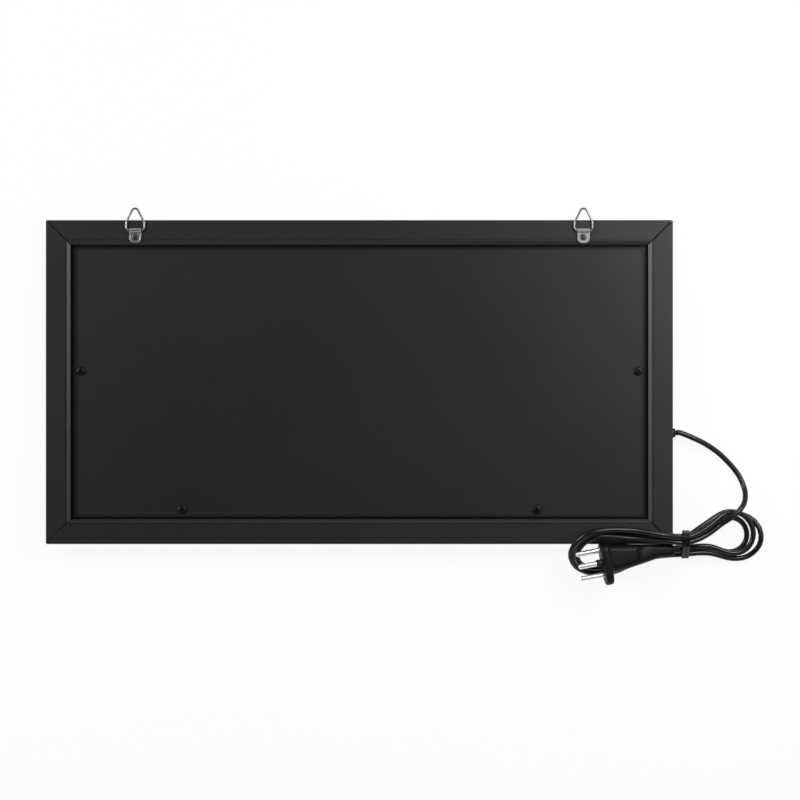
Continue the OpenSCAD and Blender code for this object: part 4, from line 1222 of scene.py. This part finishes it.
class SIGN_OT_plug(bpy.types.Operator):
    bl_idname = "sign.plug"
    bl_label = "Plug"

    def execute(self, context):
        plug = self.body()
        pins = self.pins()
        sleeve = self.sleeve()
        return {"FINISHED"}

    def grip_share(self, x):
        """Share of the grip's taper that lies before x."""
        return (x - GRIP_FROM) / (GRIP_TO - GRIP_FROM)

    def grip_size(self, share):
        """Width and thickness of the grip at a share of its taper."""
        return [size + growth * share for size, growth in zip(GRIP_TAIL, GRIP_GROWTH)]

    def skew(self, x):
        """Sideways shift of the grip, which lies along the rail and leans over it further on."""
        x = min(x, GRIP_TO)
        slant = GRIP_SLANT * max(0, self.grip_share(x))
        lean = GRIP_LEAN * (max(0, x - LEAN_FROM) / (GRIP_TO - LEAN_FROM)) ** 1.5
        return -GRIP_ASIDE - slant - lean

    def ring(self, x, wide, thick, aside=0.0):
        """Round-ended outline across the plug."""
        half = (wide - thick) / 2
        radius = thick / 2
        count = 72
        points = []
        for k in range(count):
            a = 2 * math.pi * (k + 0.5) / count
            shift = half if math.cos(a) > 0 else -half
            points.append(plug_point(x, aside + shift + radius * math.cos(a), radius * math.sin(a)))
        return points

    def body(self):
        """Tapering grip with a thumb recess and a rounded flange."""
        end = sizes().plug / MM
        grip = end - FLANGE
        taper = 13
        # Each station is a place along the plug, a width, a thickness and a shift aside
        stations = [(0, 7.6, 6.8, -0.4), (0.35, 8.8, 7.9, -0.45), (1.0, 9.4, 8.5, -0.45),
                    (2, 9.7, 8.6, -0.45), (4, 10.2, 8.6, -0.55), (7, 10.5, 8.6, -0.97),
                    (GRIP_FROM, *GRIP_TAIL, -GRIP_ASIDE)]
        for k in range(1, taper + 1):
            x = GRIP_FROM + (grip - 1 - GRIP_FROM) * k / taper
            stations.append((x, *self.grip_size(k / taper), self.skew(x)))
        stations += [(grip - 0.5, 23.6, 13.3, self.skew(grip)), (grip - 0.1, 25.4, 13.8, -2.5),
                     (grip, 30.4, 13.9, -0.5),
                     (grip + 0.25, 31.8, 15), (grip + 0.9, 32.7, 15.7), (grip + 1.8, 33, 16),
                     (end - 1.8, 33, 16), (end - 0.8, 32.6, 15.6), (end - 0.2, 31.6, 14.6),
                     (end, 30, 13)]
        bm = loft([self.ring(*station) for station in stations])
        plug = object_from(bm, "plug", plug_plastic(), 50)
        cut(plug, self.thumb_cutter())
        smooth_shade(plug.data, 38)
        return hand_over(plug, SIGN, "plug", "plug_body")

    def thumb_outline(self, end, half):
        """Outline of the thumb recess from above, rounded at its end towards the pins."""
        side = [(THUMB_FROM, -half), (end - THUMB_CORNER, -half)]
        for k in range(1, 8):
            a = math.pi * k / 16
            side.append((
                end - THUMB_CORNER + THUMB_CORNER * math.sin(a),
                THUMB_CORNER - half - THUMB_CORNER * math.cos(a),
            ))
        return side + [(x, -y) for x, y in reversed(side)]

    def thumb_floor(self, x):
        """Height of the thumb recess's floor, which runs out towards the tail."""
        top = self.grip_size(self.grip_share(x))[1] / 2
        run = max(0, (x - THUMB_FROM) / (THUMB_TO - THUMB_FROM))
        return top - THUMB_DEPTH * run ** 1.3 + 0.02

    def thumb_cutter(self):
        """Wedge that makes the thumb recess, its walls sloping out from its floor."""
        low = self.thumb_outline(THUMB_TO - 1.1, THUMB_HALF - 0.9)
        high = self.thumb_outline(THUMB_TO, THUMB_HALF)
        wall, clear = 2.2, 14
        rings = (
            [(x, y, self.thumb_floor(x)) for x, y in low],
            [(x, y, self.thumb_floor(x) + wall) for x, y in high],
            [(x, y, clear) for x, y in high],
        )
        bm = loft([[plug_point(x, y + self.skew(x), z) for x, y, z in ring] for ring in rings])
        return object_from(bm, "thumb cutter", plug_plastic())

    def pin_places(self):
        """Places of the pins on the plug's face."""
        face = sizes().plug / MM
        return [
            plug_point(face, -(PIN_ASIDE + PIN_PITCH * k), MIDDLE_PIN_RISE if k == 0 else 0)
            for k in (-1, 0, 1)
        ]

    def pins(self):
        """Three round pins with turned-down tips."""
        radius, end = sizes().pin / MM / 2, PIN_LENGTH
        profile = [(0, -PIN_ROOT), (radius, -PIN_ROOT), (radius, end - 1.8),
                   (0.96 * radius, end - 1.3), (0.82 * radius, end - 0.7),
                   (0.6 * radius, end - 0.2), (0.4 * radius, end), (0, end)]
        bm = lathe([(r * MM, z * MM) for r, z in profile], 32)
        part = object_from(bm, "pin part", pin_metal())
        turn = PLUG_DIR.to_track_quat("Z", "Y").to_euler()
        pins = copies_at("plug_pins_bright", self.pin_places(), part, pin_metal(), turn)
        return hand_over(pins, SIGN, "pin_metal", "plug_pins")

    def sleeve(self):
        """Rubber sleeve on the middle pin."""
        bore, radius, end = SLEEVE_BORE, SLEEVE_RADIUS, SLEEVE_LENGTH
        profile = [(bore, 0), (radius - 0.1, 0), (radius, 0.2), (radius, end - 0.6),
                   (radius - 0.15, end - 0.2), (radius - 0.4, end), (bore, end), (bore, 0)]
        bm = lathe([(r * MM, z * MM) for r, z in profile], 32)
        turn = PLUG_DIR.to_track_quat("Z", "Y").to_matrix().to_4x4()
        bm.transform(Matrix.Translation(self.pin_places()[1]) @ turn)
        sleeve = object_from(bm, "sleeve", black_rubber(), 50)
        return hand_over(sleeve, SIGN, "plug", "pin_sleeve")


class SIGN_OT_rails(bpy.types.Operator):
    """Makes the four mitred rails with rounded edges"""

    bl_idname = "sign.rails"
    bl_label = "Rails"

    def execute(self, context):
        size = sizes()
        for side in ("top", "bottom", "left", "right"):
            bm = bare_copy(side + "_rail")
            mitres = [e for e in sharp_edges(bm, 60, 3 * MM) if self.on_mitre(e)]
            round_edges(bm, mitres, size.mitre_round, 1)
            round_edges(bm, sharp_edges(bm, 25, 20 * MM), size.rail_round, 2)
            rail = even_normals(object_from(bm, side + "_rail_coated", frame_coat()))
            hand_over(rail, SIGN, "frame", side + "_rail")
        return {"FINISHED"}

    def on_mitre(self, edge):
        """True for an edge of a mitred end that shows on the back face."""
        a, b = (v.co for v in edge.verts)
        if min(a.z, b.z) < BACK_Z - 0.01 * MM:
            return False
        run = b - a
        return abs(abs(run.x) - abs(run.y)) < 0.01 * run.length


class SIGN_OT_panels(bpy.types.Operator):
    """Makes the back panel, and coats the face panel"""

    bl_idname = "sign.panels"
    bl_label = "Panels"

    def execute(self, context):
        bm = bare_copy("back_panel")
        round_edges(bm, sharp_edges(bm, 40, 2 * MM), sizes().panel_round, 2)
        panel = even_normals(object_from(bm, "back_panel_coated", panel_coat()))
        hand_over(panel, SIGN, "panel", "back_panel")
        coat_node("face_panel", face_acrylic())
        return {"FINISHED"}


def coat_node(node, material):
    """Gives a carried-over CAD node its finish."""
    mesh = frame["nodes"][node].data
    if len(mesh.materials):
        for k in range(len(mesh.materials)):
            mesh.materials[k] = material
    else:
        mesh.materials.append(material)


def cross_screw(name, head, height, shank, length, material):
    """Pan head screw with a cross recess, the underside of its head at the origin."""
    pin, r = shank / 2, head / 2
    dome = ((0.97, 0), (1, 0.06), (1, 0.4), (0.97, 0.6), (0.88, 0.78), (0.7, 0.91), (0.4, 0.98),
            (0, 1))
    profile = [(0, -length), (pin, 0.6 * pin - length), (pin, 0)]
    profile += [(across * r, up * height) for across, up in dome]
    screw = object_from(lathe(profile, 40), name, material)
    arm, wide, deep = 0.27 * head, 0.075 * head, 0.55 * height
    quarter = [(wide, arm), (-wide, arm), (-wide, wide)]
    outline = []
    for _ in range(4):
        outline += quarter
        quarter = [(-y, x) for x, y in quarter]
    cutter = loft([
        [(0.55 * x, 0.55 * y, height - deep) for x, y in outline],
        [(1.05 * x, 1.05 * y, height * 1.1) for x, y in outline],
    ])
    return cut(screw, object_from(cutter, name + " cutter", material))


FOOT_SCREW_INSET = 104 * MM


class SIGN_OT_screws(bpy.types.Operator):
    """Makes the back panel's black screws"""

    bl_idname = "sign.screws"
    bl_label = "Panel screws"

    def execute(self, context):
        size = sizes()
        low, high = (Vector(c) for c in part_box("panel_screws"))
        head = size.screw_head / 2
        side_y = high.y - head
        foot_y = low.y + head
        foot_x = RIGHT_X - FOOT_SCREW_INSET
        places = [(low.x + head, side_y, PANEL_Z), (high.x - head, side_y, PANEL_Z),
                  (-foot_x, foot_y, PANEL_Z), (foot_x, foot_y, PANEL_Z)]
        part = cross_screw(
            "panel screw part", size.screw_head, size.screw_height, shank=3 * MM, length=7 * MM,
            material=black_screw_oxide(),
        )
        screws = copies_at(
            "panel_screws_black", places, part, black_screw_oxide(), spin=1.5, seed=7
        )
        hand_over(screws, SIGN, "black_screw", "panel_screws")
        return {"FINISHED"}


# Hanger ring in millimetres from its bar: half its width and its height over the wire, and the
# radii of its bends
RING_HALF = 7.8
RING_HEIGHT = 18.4
BAR_BEND = 1.3
SIDE_BEND = 5
CROWN_BEND = 2.6


class SIGN_OT_hangers(bpy.types.Operator):
    """Makes the straps, the rings that swing in them and their screws"""

    bl_idname = "sign.hangers"
    bl_label = "Hangers"

    def execute(self, context):
        size = sizes()
        for side in ("left", "right"):
            node = "hanger_strap_" + side
            bm = bare_copy(node)
            round_edges(bm, sharp_edges(bm, 35, 0), size.strap_round, 2)
            strap = even_normals(object_from(bm, side + "_strap", strap_plate(), 50))
            hand_over(strap, SIGN, "nickel", node)
            body = side + "_ring"
            ring = self.ring(body + "_wire", PIVOTS[body], size.wire)
            hand_over(ring, body, "nickel", "hanger_ring_" + side)
        low, high = (Vector(c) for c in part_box("hanger_screws"))
        head = size.strap_screw_head / 2
        seat = high.z - size.strap_screw_height
        places = [(x, low.y + head, seat) for x in (low.x + head, high.x - head)]
        part = cross_screw(
            "strap screw part", size.strap_screw_head, size.strap_screw_height, shank=2.6 * MM,
            length=5 * MM, material=dull_screw_steel(),
        )
        screws = copies_at("hanger_screws_dull", places, part, dull_screw_steel(), spin=1.5, seed=3)
        hand_over(screws, SIGN, "nickel", "hanger_screws")
        return {"FINISHED"}

    def ring(self, name, pivot, wire):
        """Wire ring: a bar in the strap, slanting shoulders, upright sides and a narrow crown."""
        shoulder = RING_HALF - wire / MM / 2
        crown = RING_HEIGHT - wire / MM - CROWN_BEND
        top = Vector((shoulder - 0.2, 6.5))
        reach = Vector((0, crown)) - top
        slope = math.atan2(reach.y, reach.x) - math.asin(CROWN_BEND / reach.length)
        across = slope - math.pi / 2
        peak = crown + CROWN_BEND * (math.sin(across) + math.cos(across) * abs(math.tan(slope)))
        # Each corner of the way is its place and the radius of its bend
        half = [(5.5, 0, BAR_BEND), (shoulder, 2, BAR_BEND), (*top, SIDE_BEND)]
        way = half + [(0, peak, CROWN_BEND)] + [(-x, y, r) for x, y, r in reversed(half)]
        mesh = bpy.data.meshes.new(name)
        count = len(way)
        mesh.from_pydata(
            [pivot + Vector((x, y, 0)) * MM for x, y, r in way],
            [(k, (k + 1) % count) for k in range(count)], [],
        )
        bend = mesh.attributes.new("bend", "FLOAT", "POINT")
        bend.data.foreach_set("value", [r * MM for x, y, r in way])
        ring = new_object(name, mesh)
        return run_tree(ring, bent_wire_tree(), Wire_diameter=wire, Finish=ring_plate())


LAMP_DOME = 4 * MM
BORDER_ACROSS = 20
BORDER_UP = 10
ARROW_PITCH = 16 * MM
ARROW_SHAFT = 11
ARROW_HEAD = 4


class SIGN_OT_lamps(bpy.types.Operator):
    """Makes the unlit lamps of the border and the arrow"""

    bl_idname = "sign.lamps"
    bl_label = "Lamps"

    def execute(self, context):
        size = sizes()
        low, high = (Vector(c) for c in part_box("led_lamps"))
        r, flange = size.lamp / 2, size.lamp_flange / 2
        seat = high.z
        tip = low.z - seat
        edge = math.asin(r / LAMP_DOME)
        profile = [(0, 0), (0.94 * flange, 0), (flange, -0.1 * MM), (flange, -0.9 * MM),
                   (0.94 * flange, -MM), (r, -MM)]
        arcs = 5
        for k in range(arcs + 1):
            a = edge * (1 - k / arcs)
            profile.append((LAMP_DOME * math.sin(a), tip + LAMP_DOME - LAMP_DOME * math.cos(a)))
        bm = lathe(profile, 24)
        part = object_from(bm, "lamp part", lamp_lens())
        places = [(x, y, seat) for x, y in self.places(low, high, flange)]
        lamps = copies_at("lamps", places, part, lamp_lens())
        hand_over(lamps, SIGN, "lamp_lens", "led_lamps")
        return {"FINISHED"}

    def places(self, low, high, flange):
        """Border row and plain arrow."""
        span_x = high.x - low.x - 2 * flange
        span_y = high.y - low.y - 2 * flange
        spots = []
        for k in range(BORDER_ACROSS + 1):
            x = span_x * (k / BORDER_ACROSS - 0.5)
            spots += [(x, SIGN_Y + s * span_y / 2) for s in (-1, 1)]
        for k in range(1, BORDER_UP):
            y = SIGN_Y + span_y * (k / BORDER_UP - 0.5)
            spots += [(s * span_x / 2, y) for s in (-1, 1)]
        y = SIGN_Y + ARROW_PITCH
        tip, step = (ARROW_SHAFT - 1) / 2 * ARROW_PITCH, ARROW_PITCH / math.sqrt(2)
        spots += [(tip - k * ARROW_PITCH, y) for k in range(ARROW_SHAFT)]
        for k in range(1, ARROW_HEAD + 1):
            spots += [(tip - k * step, y + s * k * step) for s in (-1, 1)]
        return spots


class SIGN_OT_inside(bpy.types.Operator):
    """Coats the pieces inside the sign"""

    bl_idname = "sign.inside"
    bl_label = "Pieces inside"

    def execute(self, context):
        inside = {
            "corner_keys": "key_metal", "led_strips": "board", "driver_standoffs": "nylon",
            "driver_board": "board", "driver_screws": "steel", "driver_transformer": "ferrite",
            "driver_capacitors": "capacitor", "mains_terminal": "terminal",
            "lamp_terminal": "terminal", "lamp_wires": "wire", "mains_wires": "conductor",
            "inner_cord": "cord", "cord_clamp": "clamp", "clamp_screws": "steel",
        }
        for node, slot in inside.items():
            coat_node(node, inner_finish(slot))
        return {"FINISHED"}


OPERATORS = (
    SIGN_OT_stage, SIGN_OT_lead, SIGN_OT_tie, SIGN_OT_plug, SIGN_OT_rails, SIGN_OT_panels,
    SIGN_OT_screws, SIGN_OT_hangers, SIGN_OT_lamps, SIGN_OT_inside,
)


class SIGN_PT_pieces(bpy.types.Panel):
    """Lists the sign's sizes, finishes and pieces"""

    bl_idname = "SIGN_PT_pieces"
    bl_label = "Light sign"
    bl_space_type = "VIEW_3D"
    bl_region_type = "UI"
    bl_category = "Light sign"

    def draw(self, context):
        scene = context.scene
        for group in (scene.sign_sizes, scene.sign_finishes, scene.sign_stage):
            box = self.layout.box()
            for key in group.bl_rna.properties.keys():
                if key not in ("rna_type", "name"):
                    box.prop(group, key)
        column = self.layout.column(align=True)
        for operator in OPERATORS:
            column.operator(operator.bl_idname)


CLASSES = (SignSizes, SignFinishes, SignStage, *OPERATORS, SIGN_PT_pieces)


def register():
    """Registers the classes and the settings on the scene."""
    for cls in CLASSES:
        bpy.utils.register_class(cls)
    bpy.types.Scene.sign_sizes = bpy.props.PointerProperty(type=SignSizes)
    bpy.types.Scene.sign_finishes = bpy.props.PointerProperty(type=SignFinishes)
    bpy.types.Scene.sign_stage = bpy.props.PointerProperty(type=SignStage)


def unregister():
    """Takes the settings and the classes away."""
    del bpy.types.Scene.sign_stage
    del bpy.types.Scene.sign_finishes
    del bpy.types.Scene.sign_sizes
    for cls in reversed(CLASSES):
        bpy.utils.unregister_class(cls)


def main():
    """Makes every piece in order."""
    register()
    bpy.ops.sign.stage()
    bpy.ops.sign.lead()
    bpy.ops.sign.tie()
    bpy.ops.sign.plug()
    bpy.ops.sign.rails()
    bpy.ops.sign.panels()
    bpy.ops.sign.screws()
    bpy.ops.sign.hangers()
    bpy.ops.sign.lamps()
    bpy.ops.sign.inside()
    bpy.context.view_layer.update()


if __name__ == "__main__":
    main()
